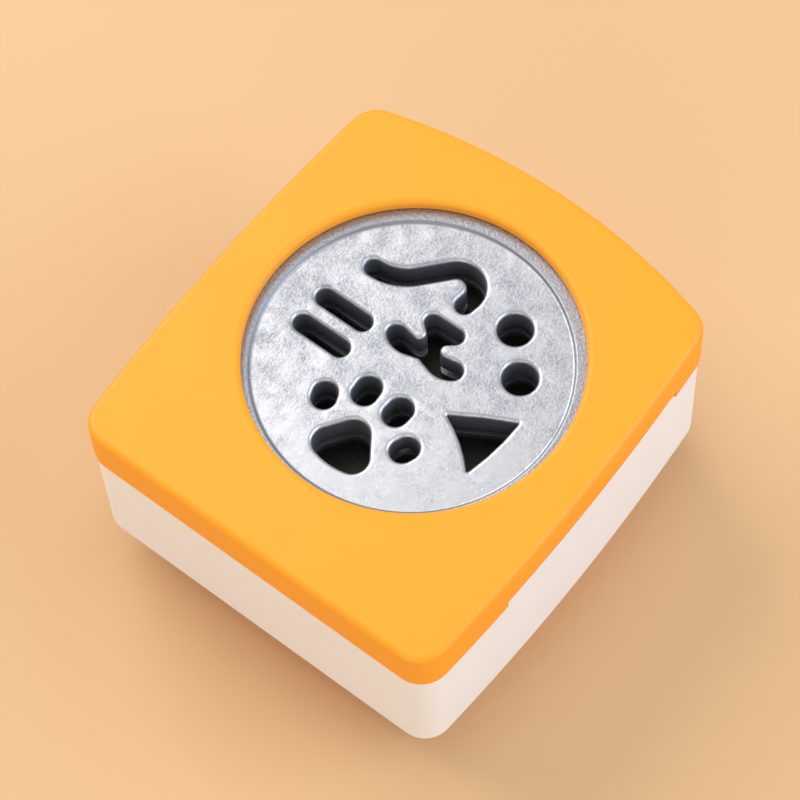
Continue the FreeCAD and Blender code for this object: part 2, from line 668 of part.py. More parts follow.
# ---------------------------------------------------------------- casing
def make_die_cover():
    """The cover: a tray over the die plate, with the window, two slot notches and four screw bosses."""
    body = new_body("die_cover")
    outline = new_sketch(body, "cover_outline", PARTING)
    add_casing_outline(outline, "0")
    block = pad(body, outline, "dims.cover_height", "cover_block")
    rounded(body, block, level_edges(block, TOP), "dims.top_round", "cover_top_edge")

    cavity = new_sketch(body, "cover_cavity_outline", ROOF_UNDER)
    add_casing_outline(cavity, "dims.cover_wall")
    pocket(body, cavity, f"{ROOF_UNDER} - {PARTING}", "cover_cavity")

    rebate = new_sketch(body, "tongue_rebate_outline", f"{TONGUE_TOP} + dims.tongue_play")
    add_casing_outline(rebate, "(dims.tongue_inset - dims.tongue_play)")
    pocket(body, rebate, "dims.tongue_height + dims.tongue_play", "tongue_rebate")

    ring = new_sketch(body, "locating_ring_circles", f"{ROOF_UNDER} - dims.locating_depth")
    add_circles(ring, WINDOW, f"({DIE_RADIUS} + dims.locating_play)")
    add_circles(ring, WINDOW, f"({DIE_RADIUS} + dims.locating_play + dims.locating_wall)")
    pad(body, ring, "dims.locating_depth", "locating_ring")

    boss_radius = "(dims.casing_screw_radius + dims.cover_boss_wall)"
    raise_circles(body, CASING_SCREWS, boss_radius, PARTING, ROOF_UNDER, "cover_bosses")
    pilot_radius = "(dims.casing_screw_radius + dims.thread_play)"
    pilot_end = f"({PARTING} + dims.casing_screw_depth + dims.pilot_spare)"
    drill(body, CASING_SCREWS, pilot_radius, PARTING, pilot_end, "cover_pilots")

    notch = new_sketch(body, "slot_notch_outline", SLOT_TOP)
    add_rectangle(notch, "-dims.casing_width", SLOT_FRONT, "dims.casing_width", SLOT_REAR)
    pocket(body, notch, "dims.slot_gap", "slot_notches")

    window = drill(body, WINDOW, "dims.window_radius", ROOF_UNDER, TOP, "window")
    rim = [name for name in level_edges(window, TOP) if is_circle(window, name, S.window_radius)]
    rounded(body, window, rim, "dims.window_round", "window_rim")
    return body


def make_body_shell():
    """The body: open at the top, with a ledge that keeps the button in and four screw posts."""
    body = new_body("body_shell")
    outline = new_sketch(body, "body_outline", BASE)
    add_casing_outline(outline, "dims.body_inset")
    block = pad(body, outline, f"{PARTING} - {BASE}", "body_block")
    rounded(body, block, level_edges(block, BASE), "dims.base_round", "body_low_edge")

    tongue = new_sketch(body, "tongue_outline", PARTING)
    add_casing_outline(tongue, "dims.tongue_inset")
    pad(body, tongue, "dims.tongue_height", "tongue_block")

    cavity = new_sketch(body, "body_cavity_outline", TONGUE_TOP)
    add_casing_outline(cavity, "(dims.body_inset + dims.body_wall)")
    pocket(body, cavity, f"{TONGUE_TOP} - {LEDGE_TOP}", "body_cavity")

    gap = new_sketch(body, "tongue_gap_outline", TONGUE_TOP)
    add_rectangle(
        gap,
        "-dims.casing_width", f"({SLOT_FRONT} - dims.tongue_play)",
        "dims.casing_width", f"({SLOT_REAR} + dims.tongue_play)",
    )
    pocket(body, gap, "dims.tongue_height", "tongue_gaps")

    hole = new_sketch(body, "button_hole_outline", LEDGE_TOP)
    add_outline(hole, "(dims.press_inset - dims.press_play)", "(dims.press_corner + dims.press_play)")
    pocket(body, hole, "dims.ledge", "button_hole")

    sink_radius = "(dims.casing_screw_head + dims.head_play)"
    post_radius = f"({sink_radius} + dims.casing_post_wall)"
    raise_circles(body, CASING_SCREWS, post_radius, BASE, GUIDE_UNDER, "screw_posts")
    shank_radius = "(dims.casing_screw_radius + dims.shank_play)"
    drill(body, CASING_SCREWS, shank_radius, CASING_HEAD_SEAT, GUIDE_UNDER, "screw_holes")
    drill(body, CASING_SCREWS, sink_radius, BASE, CASING_HEAD_SEAT, "screw_sinks")
    return body


def make_die_plate():
    """The die plate: a disc with a raised ring and the twelve openings, rounded at their upper rims."""
    body = new_body("die_plate")
    block = raise_circles(body, WINDOW, DIE_RADIUS, SLOT_TOP, DIE_TOP, "die_block")
    bevelled(body, block, level_edges(block, SLOT_TOP), "dims.lead_in", "nori_lead_in")
    drill(body, WINDOW, DISC_RADIUS, DISC_TOP, DIE_TOP, "sunk_disc")
    pilot_radius = "(dims.die_screw_radius + dims.thread_play)"
    pilot_end = f"({SLOT_TOP} + dims.die_screw_depth + dims.pilot_spare)"
    drill(body, DIE_SCREWS, pilot_radius, SLOT_TOP, pilot_end, "die_pilots")
    openings = opening_sketch(body, OPENINGS, 0.0, DISC_TOP, "die_openings_outline")
    cut = pocket(body, openings, f"{DISC_TOP} - {SLOT_TOP}", "die_openings")
    disc = worth(DISC_RADIUS)
    rims = [name for name in level_edges(cut, DISC_TOP) if not is_circle(cut, name, disc)]
    rounded(body, cut, rims, "dims.rim_round", "opening_rims")
    return body


def make_guide_plate():
    """The plate under the slot: it guides the punches and carries the die plate on two rails."""
    body = new_body("guide_plate")
    outline = new_sketch(body, "guide_outline", GUIDE_UNDER)
    add_casing_outline(outline, "(dims.body_inset + dims.body_wall + dims.guide_gap)")
    pad(body, outline, "dims.guide_thickness", "guide_block")

    rails = new_sketch(body, "rail_outlines", PARTING)
    left = "(-dims.rail_length / 2)"
    right = "(dims.rail_length / 2)"
    add_rectangle(rails, left, f"({SLOT_FRONT} - dims.rail_width)", right, SLOT_FRONT)
    add_rectangle(rails, left, SLOT_REAR, right, f"({SLOT_REAR} + dims.rail_width)")
    pad(body, rails, "dims.slot_gap", "rails")

    openings = opening_sketch(body, OPENINGS, S.guide_play - S.die_play, PARTING, "guide_openings_outline")
    pocket(body, openings, "dims.guide_thickness", "guide_openings")
    drill(body, POSTS, "(dims.post_radius + dims.seat_play)", GUIDE_UNDER, POST_HIGH, "post_seats")
    casing_shank = "(dims.casing_screw_radius + dims.shank_play)"
    drill(body, CASING_SCREWS, casing_shank, GUIDE_UNDER, PARTING, "casing_screw_holes")
    die_shank = "(dims.die_screw_radius + dims.shank_play)"
    drill(body, DIE_SCREWS, die_shank, GUIDE_UNDER, SLOT_TOP, "die_screw_holes")
    return body


# ---------------------------------------------------------------- press
def make_press_button():
    """The button: a shallow cup with a flange, four guide sleeves and four bosses for the carrier."""
    body = new_body("press_button")
    flange_top = f"({FLANGE_UNDER} + dims.flange_thickness)"
    outline = new_sketch(body, "button_outline", "0")
    add_outline(outline, "dims.press_inset", "dims.press_corner")
    block = pad(body, outline, flange_top, "button_block")
    rounded(body, block, level_edges(block, "0"), "dims.press_round", "button_edge")

    flange = new_sketch(body, "flange_outline", FLANGE_UNDER)
    add_outline(flange, "(dims.press_inset - dims.flange_width)", "(dims.press_corner + dims.flange_width)")
    pad(body, flange, "dims.flange_thickness", "flange")

    cavity = new_sketch(body, "button_cavity_outline", flange_top)
    add_outline(cavity, "(dims.press_inset + dims.press_wall)", "(dims.press_corner - dims.press_wall)")
    pocket(body, cavity, f"{flange_top} - dims.press_floor", "button_cavity")

    bore_radius = "(dims.post_radius + dims.post_play)"
    sleeve_radius = f"({bore_radius} + dims.sleeve_wall)"
    raise_circles(body, POSTS, sleeve_radius, "dims.press_floor", SLEEVE_TOP, "sleeves")
    drill(body, POSTS, bore_radius, "dims.press_floor", SLEEVE_TOP, "guide_bores")
    pilot_radius = "(dims.carrier_screw_radius + dims.thread_play)"
    boss_radius = "(dims.carrier_screw_radius + dims.carrier_boss_wall)"
    raise_circles(body, CARRIER_SCREWS, boss_radius, "dims.press_floor", CARRIER_UNDER, "carrier_bosses")
    pilot_end = f"({CARRIER_UNDER} - dims.carrier_screw_depth - dims.pilot_spare)"
    drill(body, CARRIER_SCREWS, pilot_radius, pilot_end, CARRIER_UNDER, "carrier_pilots")
    return body


def make_punch_carrier():
    """The carrier: a rounded plate that holds the feet of the punches and clears the springs."""
    body = new_body("punch_carrier")
    spring_hole = "(dims.spring_radius + dims.spring_wire / 2 + dims.spring_play)"
    outline = new_sketch(body, "carrier_outline", CARRIER_UNDER)
    add_rectangle(
        outline,
        "(-dims.carrier_width / 2)", f"({POSTS[0][1]} - {spring_hole} - dims.carrier_margin)",
        "(dims.carrier_width / 2)", f"({POSTS[2][1]} + {spring_hole} + dims.carrier_margin)",
    )
    block = pad(body, outline, "dims.carrier_thickness", "carrier_block")
    edges = enumerate(block.Shape.Edges, start=1)
    upright = [f"Edge{number}" for number, edge in edges if edge.BoundBox.ZLength > SAME_LENGTH]
    rounded(body, block, upright, "dims.carrier_corner", "carrier_corners")
    drill(body, POSTS, spring_hole, CARRIER_UNDER, CARRIER_TOP, "spring_holes")
    shank_radius = "(dims.carrier_screw_radius + dims.shank_play)"
    drill(body, CARRIER_SCREWS, shank_radius, CARRIER_UNDER, CARRIER_TOP, "carrier_screw_holes")
    seats = opening_sketch(body, OPENINGS, S.seat_play - S.die_play, CARRIER_TOP, "punch_seats_outline")
    pocket(body, seats, "dims.seat_depth", "punch_seats")
    return body


def make_punch(opening):
    """A punch: the opening's shape, less its clearance, from its seat in the carrier to its tip."""
    body = new_body(f"punch_{opening}")
    outline = opening_sketch(body, [opening], -S.die_play, SEAT, f"{opening}_outline")
    pad(body, outline, f"{TIP} - {SEAT}", f"{opening}_prism")
    return body


# ---------------------------------------------------------------- posts, springs and screws
def make_post(corner, place):
    """A guide post, from its seat in the guide plate down into the button's sleeve."""
    body = new_body(f"post_{corner}")
    rod = raise_circles(body, [place], "dims.post_radius", POST_LOW, POST_HIGH, f"{corner}_rod")
    ends = level_edges(rod, POST_LOW) + level_edges(rod, POST_HIGH)
    bevelled(body, rod, ends, "dims.post_bevel", f"{corner}_rod_ends")
    return body


def make_spring(corner, place):
    """A return spring round a guide post, between the button's sleeve and the guide plate."""
    margin = "(dims.spring_wire / 2 + dims.spring_end_gap)"
    helix = doc.addObject("Part::Helix", f"{corner}_coil_line")
    helix.setExpression("Radius", "dims.spring_radius")
    helix.setExpression("Height", f"dims.spring_length - 2 * {margin}")
    helix.setExpression("Pitch", f"(dims.spring_length - 2 * {margin}) / dims.spring_turns")
    section = doc.addObject("Part::Circle", f"{corner}_coil_section")
    section.setExpression("Radius", "dims.spring_wire / 2")
    section.Placement.Rotation = FreeCAD.Rotation(Vector(1, 0, 0), 90)
    for item, offset in ((helix, "0"), (section, "dims.spring_radius")):
        item.setExpression("Placement.Base.x", f"{place[0]} + {offset}")
        item.setExpression("Placement.Base.y", place[1])
        item.setExpression("Placement.Base.z", f"{SLEEVE_TOP} + {margin}")
    spring = doc.addObject("Part::Sweep", f"spring_{corner}")
    spring.Label = f"spring_{corner}"
    spring.Sections = [section]
    spring.Spine = (helix, [])
    spring.Solid = True
    spring.Frenet = True
    doc.recompute()
    return spring


def make_screws(kind, places, seat, reach, pointing_up):
    """Equal screws in one node: seat is the height under their heads, reach the length of their shanks."""
    body = new_body(f"{kind}s")
    body.AllowCompound = True
    head_height = f"dims.{kind}_head_height"
    if pointing_up:
        tip, face = f"({seat} + {reach})", f"({seat} - {head_height})"
        shank, head = (seat, tip), (face, seat)
    else:
        tip, face = f"({seat} - {reach})", f"({seat} + {head_height})"
        shank, head = (tip, seat), (seat, face)
    heads = raise_circles(body, places, f"dims.{kind}_head", *head, f"{kind}_heads")
    rounded(body, heads, level_edges(heads, face), "dims.head_round", f"{kind}_head_edges")
    shanks = raise_circles(body, places, f"dims.{kind}_radius", *shank, f"{kind}_shanks")
    bevelled(body, shanks, level_edges(shanks, tip), "dims.screw_bevel", f"{kind}_tips")
    for way, wide, deep in (("along", "length", "width"), ("across", "width", "length")):
        recess = new_sketch(body, f"{kind}_recess_{way}_outline", face)
        for x, y in places:
            add_rectangle(
                recess,
                f"({x} - dims.recess_{wide} / 2)", f"({y} - dims.recess_{deep} / 2)",
                f"({x} + dims.recess_{wide} / 2)", f"({y} + dims.recess_{deep} / 2)",
            )
        pocket(body, recess, "dims.recess_depth", f"{kind}_recess_{way}", upwards=pointing_up)
    return body


# ---------------------------------------------------------------- assembly
parts = [make_die_cover(), make_die_plate(), make_guide_plate(), make_body_shell()]
parts += [make_press_button(), make_punch_carrier()]
parts += [make_punch(opening) for opening in OPENINGS]
parts += [make_post(corner, place) for corner, place in zip(CORNERS, POSTS)]
parts += [make_spring(corner, place) for corner, place in zip(CORNERS, POSTS)]
parts.append(make_screws(
    "casing_screw", CASING_SCREWS, CASING_HEAD_SEAT,
    f"({PARTING} + dims.casing_screw_depth - {CASING_HEAD_SEAT})", pointing_up=True,
))
parts.append(make_screws(
    "die_screw", DIE_SCREWS, GUIDE_UNDER,
    f"({SLOT_TOP} + dims.die_screw_depth - {GUIDE_UNDER})", pointing_up=True,
))
parts.append(make_screws(
    "carrier_screw", CARRIER_SCREWS, CARRIER_TOP,
    "(dims.carrier_thickness + dims.carrier_screw_depth)", pointing_up=False,
))
doc.recompute()

# ---------------------------------------------------------------- checks and files
for item in doc.Objects:
    if {"Invalid", "Error"} & set(item.State):
        raise RuntimeError(f"{item.Name} failed: {item.State}")
for part in parts:
    if part.Shape.isNull() or not part.Shape.isValid():
        raise RuntimeError(f"{part.Label} has no valid shape")

os.makedirs("parts", exist_ok=True)
for part in parts:
    part.Shape.exportStep(f"parts/{part.Label}.step")
    print(f"{part.Label}: {len(part.Shape.Solids)} solid(s), {part.Shape.Volume:.1f} mm3")
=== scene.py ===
# %% [markdown]
# # A nori punch, dressed for its picture
#
# A nori punch cuts cat faces, paws and tails out of a strip of dried seaweed. It has an orange cover with a round
# window, a cast die plate in that window, a white body and a big press button, and here it lies on that button with
# the die plate up. The solids come from CAD and set every size. This script loads them as a fixed frame, builds
# smooth surfaces for the pieces that are seen most and for the springs, and gives each piece the finish of the real
# material.

import json
import math

import bpy
import numpy as np
from mathutils import Matrix, Vector
from mathutils.geometry import tessellate_polygon

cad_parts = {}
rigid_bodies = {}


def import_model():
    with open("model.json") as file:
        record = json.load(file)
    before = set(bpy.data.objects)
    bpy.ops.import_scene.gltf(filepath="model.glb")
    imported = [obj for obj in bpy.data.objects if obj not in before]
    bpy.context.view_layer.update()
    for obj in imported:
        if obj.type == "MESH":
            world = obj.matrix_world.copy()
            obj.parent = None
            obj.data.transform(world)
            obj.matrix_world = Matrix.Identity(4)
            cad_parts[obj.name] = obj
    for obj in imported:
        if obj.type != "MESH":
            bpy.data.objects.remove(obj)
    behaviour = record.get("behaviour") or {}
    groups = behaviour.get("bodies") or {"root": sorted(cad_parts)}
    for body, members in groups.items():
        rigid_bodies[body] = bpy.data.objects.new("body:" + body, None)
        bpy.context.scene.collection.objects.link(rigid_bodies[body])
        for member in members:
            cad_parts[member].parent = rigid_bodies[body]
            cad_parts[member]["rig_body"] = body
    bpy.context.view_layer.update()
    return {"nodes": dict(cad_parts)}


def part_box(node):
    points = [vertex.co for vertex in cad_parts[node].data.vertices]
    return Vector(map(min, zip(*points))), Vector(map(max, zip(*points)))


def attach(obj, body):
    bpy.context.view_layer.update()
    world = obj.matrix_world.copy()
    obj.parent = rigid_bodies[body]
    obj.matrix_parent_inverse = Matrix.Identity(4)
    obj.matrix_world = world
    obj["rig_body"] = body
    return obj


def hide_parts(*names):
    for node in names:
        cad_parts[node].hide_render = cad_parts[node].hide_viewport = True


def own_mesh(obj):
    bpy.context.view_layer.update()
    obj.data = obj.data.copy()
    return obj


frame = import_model()
MM = 0.001
print("solids in the frame:", len(frame["nodes"]))

# %% [markdown]
# ## Heights and sizes
#
# The frame knows how high each solid starts and ends, so the heights are read from it. Widths on curved sides would
# come out a hair short, because the solids are drawn with short straight edges there. They are written down instead.

# %% Heights from the frame, sizes in millimetres
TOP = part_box("die_cover")[1].z
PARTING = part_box("die_cover")[0].z
SLOT_TOP, DIE_TOP = (corner.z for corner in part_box("die_plate"))
BASE, TONGUE_TOP = (corner.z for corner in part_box("body_shell"))
GUIDE_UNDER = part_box("guide_plate")[0].z
CARRIER_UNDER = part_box("punch_carrier")[0].z
ROOF_UNDER = DIE_TOP

LEDGE, FLANGE_GAP, FLANGE_THICKNESS, DISC_STEP = 2.0 * MM, 0.05 * MM, 1.5 * MM, 0.4 * MM
LEDGE_TOP = BASE + LEDGE
FLANGE_UNDER = LEDGE_TOP + FLANGE_GAP
FLANGE_TOP = FLANGE_UNDER + FLANGE_THICKNESS
DISC_TOP = DIE_TOP - DISC_STEP

WINDOW, WINDOW_RADIUS = np.array([0.0, 1.75]) * MM, 22.3 * MM
DIE_LIP, SLOT_LAND = 2.0 * MM, 6.0 * MM
DIE_RADIUS = WINDOW_RADIUS + DIE_LIP
SLOT_HALF = DIE_RADIUS - SLOT_LAND
print("top of the cover:", round(TOP / MM, 2), "mm; parting line:", round(PARTING / MM, 2), "mm")

# %% [markdown]
# ## The casing's outline
#
# Seen from above the casing is a soft square: a straight front, two sides that bulge a little, a rear that bulges
# more, and small round corners. Cover, body and button all follow it, further and further in. A curve that is moved
# in keeps its centre and loses radius, so one function can give every such outline. It always returns the same
# number of points, which lets neighbouring outlines be joined point by point.

# %% The outline as a function of how far it is moved in
CASING_WIDTH, SIDE_BULGE = 58.6 * MM, 1.3 * MM
CASING_LENGTH, REAR_BULGE = 64.7 * MM, 4.5 * MM
CORNER_ROUND = 4.2 * MM

HALF_LENGTH = CASING_LENGTH / 2
CORNER_X = CASING_WIDTH / 2 - SIDE_BULGE
SIDE_RADIUS = (((CASING_LENGTH - REAR_BULGE) / 2) ** 2 + SIDE_BULGE**2) / (2 * SIDE_BULGE)
SIDE_CENTRE = np.array([CASING_WIDTH / 2 - SIDE_RADIUS, -REAR_BULGE / 2])
REAR_RADIUS = (CORNER_X**2 + REAR_BULGE**2) / (2 * REAR_BULGE)
REAR_CENTRE = np.array([0.0, HALF_LENGTH - REAR_RADIUS])

# Points on the right half: front, corner, side before the slot, side at the slot, side after it, corner, rear.
COUNTS = (20, 12, 10, 36, 10, 12, 30)
SLOT_STRETCH = 3


def arc(centre, radius, start, end, count):
    """Points at even steps of angle round a centre, with both ends."""
    angle = np.linspace(start, end, count)
    return centre + radius * np.stack([np.cos(angle), np.sin(angle)], axis=1)


def angle_of(way):
    """The direction of a vector, from +X towards +Y."""
    return math.atan2(way[1], way[0])


def corner_centres(depth):
    """Centres of the front and rear corner on the right: where the sides meet on the outline moved in by depth.

    At the front that is where a circle meets a level line. At the rear two circles meet, at a distance along the
    line between their centres that follows from their radii, and the rest of the way square to it.
    """
    side, rear = SIDE_RADIUS - depth, REAR_RADIUS - depth
    y = depth - HALF_LENGTH
    front_corner = np.array([SIDE_CENTRE[0] + math.sqrt(side**2 - (y - SIDE_CENTRE[1]) ** 2), y])
    apart = np.linalg.norm(REAR_CENTRE - SIDE_CENTRE)
    ahead = (REAR_CENTRE - SIDE_CENTRE) / apart
    along = (side**2 - rear**2 + apart**2) / (2 * apart)
    across = np.array([-ahead[1], ahead[0]]) * math.sqrt(side**2 - along**2)
    return front_corner, SIDE_CENTRE + ahead * along + across


def outline(inset, depth=CORNER_ROUND):
    """The outline moved in by inset, anticlockwise from the middle of the front.

    depth is the inset at which the corners shrink to a point, so a corner's radius is depth less inset. The side
    is drawn in three arcs that end where the slot does, and the two points there are given twice, so that the
    wall can have a step between them. The left half is the right half mirrored and run backwards.
    """
    front_corner, rear_corner = corner_centres(depth)
    side, bend = SIDE_RADIUS - inset, depth - inset
    low, high = angle_of(front_corner - SIDE_CENTRE), angle_of(rear_corner - SIDE_CENTRE)
    turn = angle_of(rear_corner - REAR_CENTRE)
    slot_ends = WINDOW[1] + np.array([-SLOT_HALF, SLOT_HALF])
    first, last = np.clip(np.arcsin((slot_ends - SIDE_CENTRE[1]) / side), low, high)
    front = inset - HALF_LENGTH
    right = np.concatenate([
        np.linspace((0, front), (front_corner[0], front), COUNTS[0], endpoint=False),
        arc(front_corner, bend, -math.pi / 2, low, COUNTS[1] + 1)[:-1],
        arc(SIDE_CENTRE, side, low, first, COUNTS[2]),
        arc(SIDE_CENTRE, side, first, last, COUNTS[3]),
        arc(SIDE_CENTRE, side, last, high, COUNTS[4]),
        arc(rear_corner, bend, high, turn, COUNTS[5] + 1)[1:],
        arc(REAR_CENTRE, REAR_RADIUS - inset, turn, math.pi / 2, COUNTS[6] + 1)[1:],
    ])
    return np.concatenate([right, right[-2:0:-1] * (-1, 1)])


slot_on_right = np.repeat(np.arange(len(COUNTS)) == SLOT_STRETCH, COUNTS)
AT_SLOT = np.concatenate([slot_on_right, slot_on_right[-2:0:-1]])
print("points on an outline:", len(outline(0.0)), "of which at the slot:", AT_SLOT.sum())

# %% [markdown]
# ## Surfaces from rings
#
# A moulded shell is thin and hollow, and a solid with a Bevel on its edges would be one way to draw it. Here its
# section is written down instead, as a walk round the wall: up the inside of the window, over the rim, across the
# top, down the outside and back along the inside. Each step of the walk is a ring round the whole piece, and quads
# join every ring to the next. The walk keeps the material on its right, so all the faces point outwards.

# %% Rings, and the quads between them
ROUND_SIDES = 32


def level(points, height):
    """A flat ring of points lifted to a height, or each point to its own height."""
    return np.column_stack([points, np.broadcast_to(height, len(points))])


def loft(rings):
    """Points and quads of the surface through rings of equally many points.

    Quad (i, j) joins points j and j + 1 of ring i to the same points of ring i + 1, and the last point of a ring
    joins its first.
    """
    rings = np.asarray(rings)
    here = np.arange(rings.shape[0] * rings.shape[1]).reshape(rings.shape[:2])
    beside = np.roll(here, -1, axis=1)
    quads = np.stack([here[:-1], here[1:], beside[1:], beside[:-1]], axis=-1)
    return rings.reshape(-1, 3), quads.reshape(-1, 4)


def circle(centre, radius, count):
    """A ring of points round a centre."""
    return arc(np.asarray(centre), radius, 0, 2 * math.pi, count + 1)[:-1]


def turned(centre, profile):
    """A surface turned round an upright axis from a profile of (radius, height) pairs."""
    return loft([level(circle(centre, radius, ROUND_SIDES), height) for radius, height in profile])


def rounding(edge, height, radius, start, end, steps=8):
    """A rounded edge in a profile, as (edge less radius times sine, height plus radius times cosine) pairs.

    The angle runs from start to end in degrees, where 0 is straight up and 90 is straight out.
    """
    angle = np.radians(np.linspace(start, end, steps + 1))
    return list(zip(edge - radius * np.sin(angle), height + radius * np.cos(angle)))


# %% [markdown]
# ## Flat faces with holes
#
# A ring can't close a flat face that has holes in it. There the edge loops are known, and Blender's own polygon
# filler finds triangles between them. It doesn't say which way a triangle faces, so each one is turned by the sign
# of its area.

# %% Fill a flat face
JOIN = 1e-6  # metres; points closer than this are one point


def fill(loops, height, up):
    """Points and triangles of a flat face inside the first loop and outside the others."""
    loops = [loop[np.linalg.norm(loop - np.roll(loop, 1, axis=0), axis=1) > JOIN] for loop in loops]
    points = np.concatenate(loops)
    filled = tessellate_polygon([[Vector((x, y, 0)) for x, y in loop] for loop in loops])
    triangles = np.array(filled)
    a, b, c = (points[triangles[:, corner]] for corner in range(3))
    area = np.cross(b - a, c - a)
    wrong = area < 0 if up else area > 0
    triangles[wrong] = triangles[wrong][:, ::-1]
    return level(points, height), triangles


# %% [markdown]
# ## From patches to one mesh
#
# Each piece is a few patches whose edges meet exactly. Joining their shared points gives one closed mesh, and that
# also drops the quads that have no width. Smooth shading bends the light across an edge, so edges sharper than
# 30 degrees are marked sharp, and the Weighted Normal modifier keeps large flat faces flat beside their roundings.

# %% Build a piece
SHARP_FROM = math.radians(30)


def make_piece(name, patches, finish, node):
    """One mesh from patches of (points, faces), put in the place of a CAD node and moving with it.

    A triangle is kept as a quad that gives its last point twice until the shared points are joined. Then each face
    keeps the corners that differ from the one before.
    """
    points = np.concatenate([patch[0] for patch in patches])
    starts = np.cumsum([0] + [len(patch[0]) for patch in patches[:-1]])
    faces = np.concatenate([
        np.pad(patch[1], ((0, 0), (0, 4 - patch[1].shape[1])), mode="edge") + start
        for patch, start in zip(patches, starts)
    ])
    _, kept, joined = np.unique(np.round(points / JOIN), axis=0, return_index=True, return_inverse=True)
    faces = joined.reshape(-1)[faces]
    distinct = faces != np.roll(faces, 1, axis=1)
    real = distinct.sum(axis=1) > 2
    faces, distinct = faces[real], distinct[real]

    mesh = bpy.data.meshes.new(name)
    mesh.vertices.add(len(kept))
    mesh.vertices.foreach_set("co", points[kept].ravel())
    mesh.loops.add(int(distinct.sum()))
    mesh.loops.foreach_set("vertex_index", faces[distinct].astype(np.int32))
    mesh.polygons.add(len(faces))
    sizes = distinct.sum(axis=1)
    mesh.polygons.foreach_set("loop_start", (np.cumsum(sizes) - sizes).astype(np.int32))
    mesh.update(calc_edges=True)
    mesh.validate()
    mesh.polygons.foreach_set("use_smooth", np.ones(len(mesh.polygons), dtype=bool))
    mesh.set_sharp_from_angle(angle=SHARP_FROM)
    mesh.materials.append(finish)

    piece = bpy.data.objects.new(name, mesh)
    bpy.context.scene.collection.objects.link(piece)
    weighted = piece.modifiers.new("flat_faces_stay_flat", "WEIGHTED_NORMAL")
    weighted.keep_sharp = True
    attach(piece, frame["nodes"][node]["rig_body"])
    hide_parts(node)
    print(f"{name}: {len(mesh.vertices)} points, {len(mesh.polygons)} faces")
    return piece


# %% [markdown]
# ## Finishes
#
# A finish is a small network of nodes. One helper adds a node, sets it and links it, which keeps each recipe short
# enough to read. Colours are written the way a paint chart gives them and turned to linear light by one function.
# Other helpers map a value, mix two colours and add a relief, the three steps that every finish repeats.

# %% Helpers for finishes
def linear(chart):
    """A colour from its sRGB hex value.

    The sRGB curve is undone for each channel: it is a line for dark values and a power above them.
    """
    channels = [int(chart[i : i + 2], 16) / 255 for i in (1, 3, 5)]
    return (*[c / 12.92 if c <= 0.04045 else ((c + 0.055) / 1.055) ** 2.4 for c in channels], 1.0)


def add(tree, kind, inputs=(), **settings):
    """Adds a node. settings are its own properties; an input takes a plain value or another node's output."""
    node = tree.nodes.new("ShaderNode" + kind)
    for name, value in settings.items():
        setattr(node, name, value)
    for socket, value in dict(inputs).items():
        if isinstance(value, bpy.types.NodeSocket):
            tree.links.new(value, node.inputs[socket])
        else:
            node.inputs[socket].default_value = value
    return node


def start_finish(name):
    """An empty material and its node tree, with the piece's own coordinates in metres."""
    material = bpy.data.materials.new(name)
    material.use_nodes = True
    tree = material.node_tree
    tree.nodes.clear()
    return material, tree, add(tree, "TexCoord").outputs["Object"]


def math_of(tree, operation, *values, **settings):
    """The output of a sum, product or other operation on values."""
    return add(tree, "Math", dict(enumerate(values)), operation=operation, **settings).outputs["Value"]


def ramp(tree, value, start, end, low=0.0, high=1.0):
    """The output of a value mapped from start..end to low..high and held there."""
    ends = {"From Min": start, "From Max": end, "To Min": low, "To Max": high}
    return add(tree, "MapRange", {"Value": value, **ends}).outputs["Result"]


def blend(tree, share, first, second):
    """Two colours mixed by a share: the first at 0, the second at 1. Each is a hex value or another node's output."""
    first, second = (linear(colour) if isinstance(colour, str) else colour for colour in (first, second))
    return add(tree, "Mix", {0: share, 6: first, 7: second}, data_type="RGBA").outputs[2]


def relief(tree, height, strength, depth, below=None):
    """The normal of a relief, depth metres deep, on top of the relief below where there is one."""
    inputs = {"Height": height, "Strength": strength, "Distance": depth}
    if below is not None:
        inputs["Normal"] = below
    return add(tree, "Bump", inputs).outputs["Normal"]


def finish_with(material, tree, **surface):
    """Ends a finish with one surface shader. Underscores in the names of its inputs stand for spaces."""
    shader = add(tree, "BsdfPrincipled", {name.replace("_", " "): value for name, value in surface.items()})
    add(tree, "OutputMaterial", {"Surface": shader.outputs["BSDF"]})
    return material


# %% [markdown]
# ### Moulded ABS
#
# Cover, button and body are injection moulded ABS. The mould is spark eroded, which leaves a skin of tiny pits that
# makes the plastic satin and not glossy. The pits are about 0.05 mm wide, too fine to show, so they are drawn at
# 0.3 mm. Colour hardly varies, but the skin is a little glossier in places, over a few millimetres.

# %% ABS in a colour
def moulded_abs(name, light, deep):
    """Satin ABS: two close tones mixed by slow noise, uneven gloss, and the fine pitted skin as a bump."""
    material, tree, place = start_finish(name)
    slow = add(tree, "TexNoise", {"Vector": place, "Scale": 1 / (9 * MM), "Detail": 2.0}).outputs["Fac"]
    pits = add(tree, "TexNoise", {"Vector": place, "Scale": 1 / (0.3 * MM), "Detail": 3.0}).outputs["Fac"]
    return finish_with(
        material, tree,
        Base_Color=blend(tree, slow, deep, light),
        Roughness=ramp(tree, slow, 0.0, 1.0, 0.52, 0.42),
        IOR=1.54,
        Normal=relief(tree, pits, 0.12, 0.02 * MM),
    )


orange_abs = moulded_abs("orange_abs_moulded", light="#FFA40C", deep="#FFA006")
white_abs = moulded_abs("white_abs_moulded", light="#F4F1EE", deep="#EFEBE7")
print("made", orange_abs.name, "and", white_abs.name)
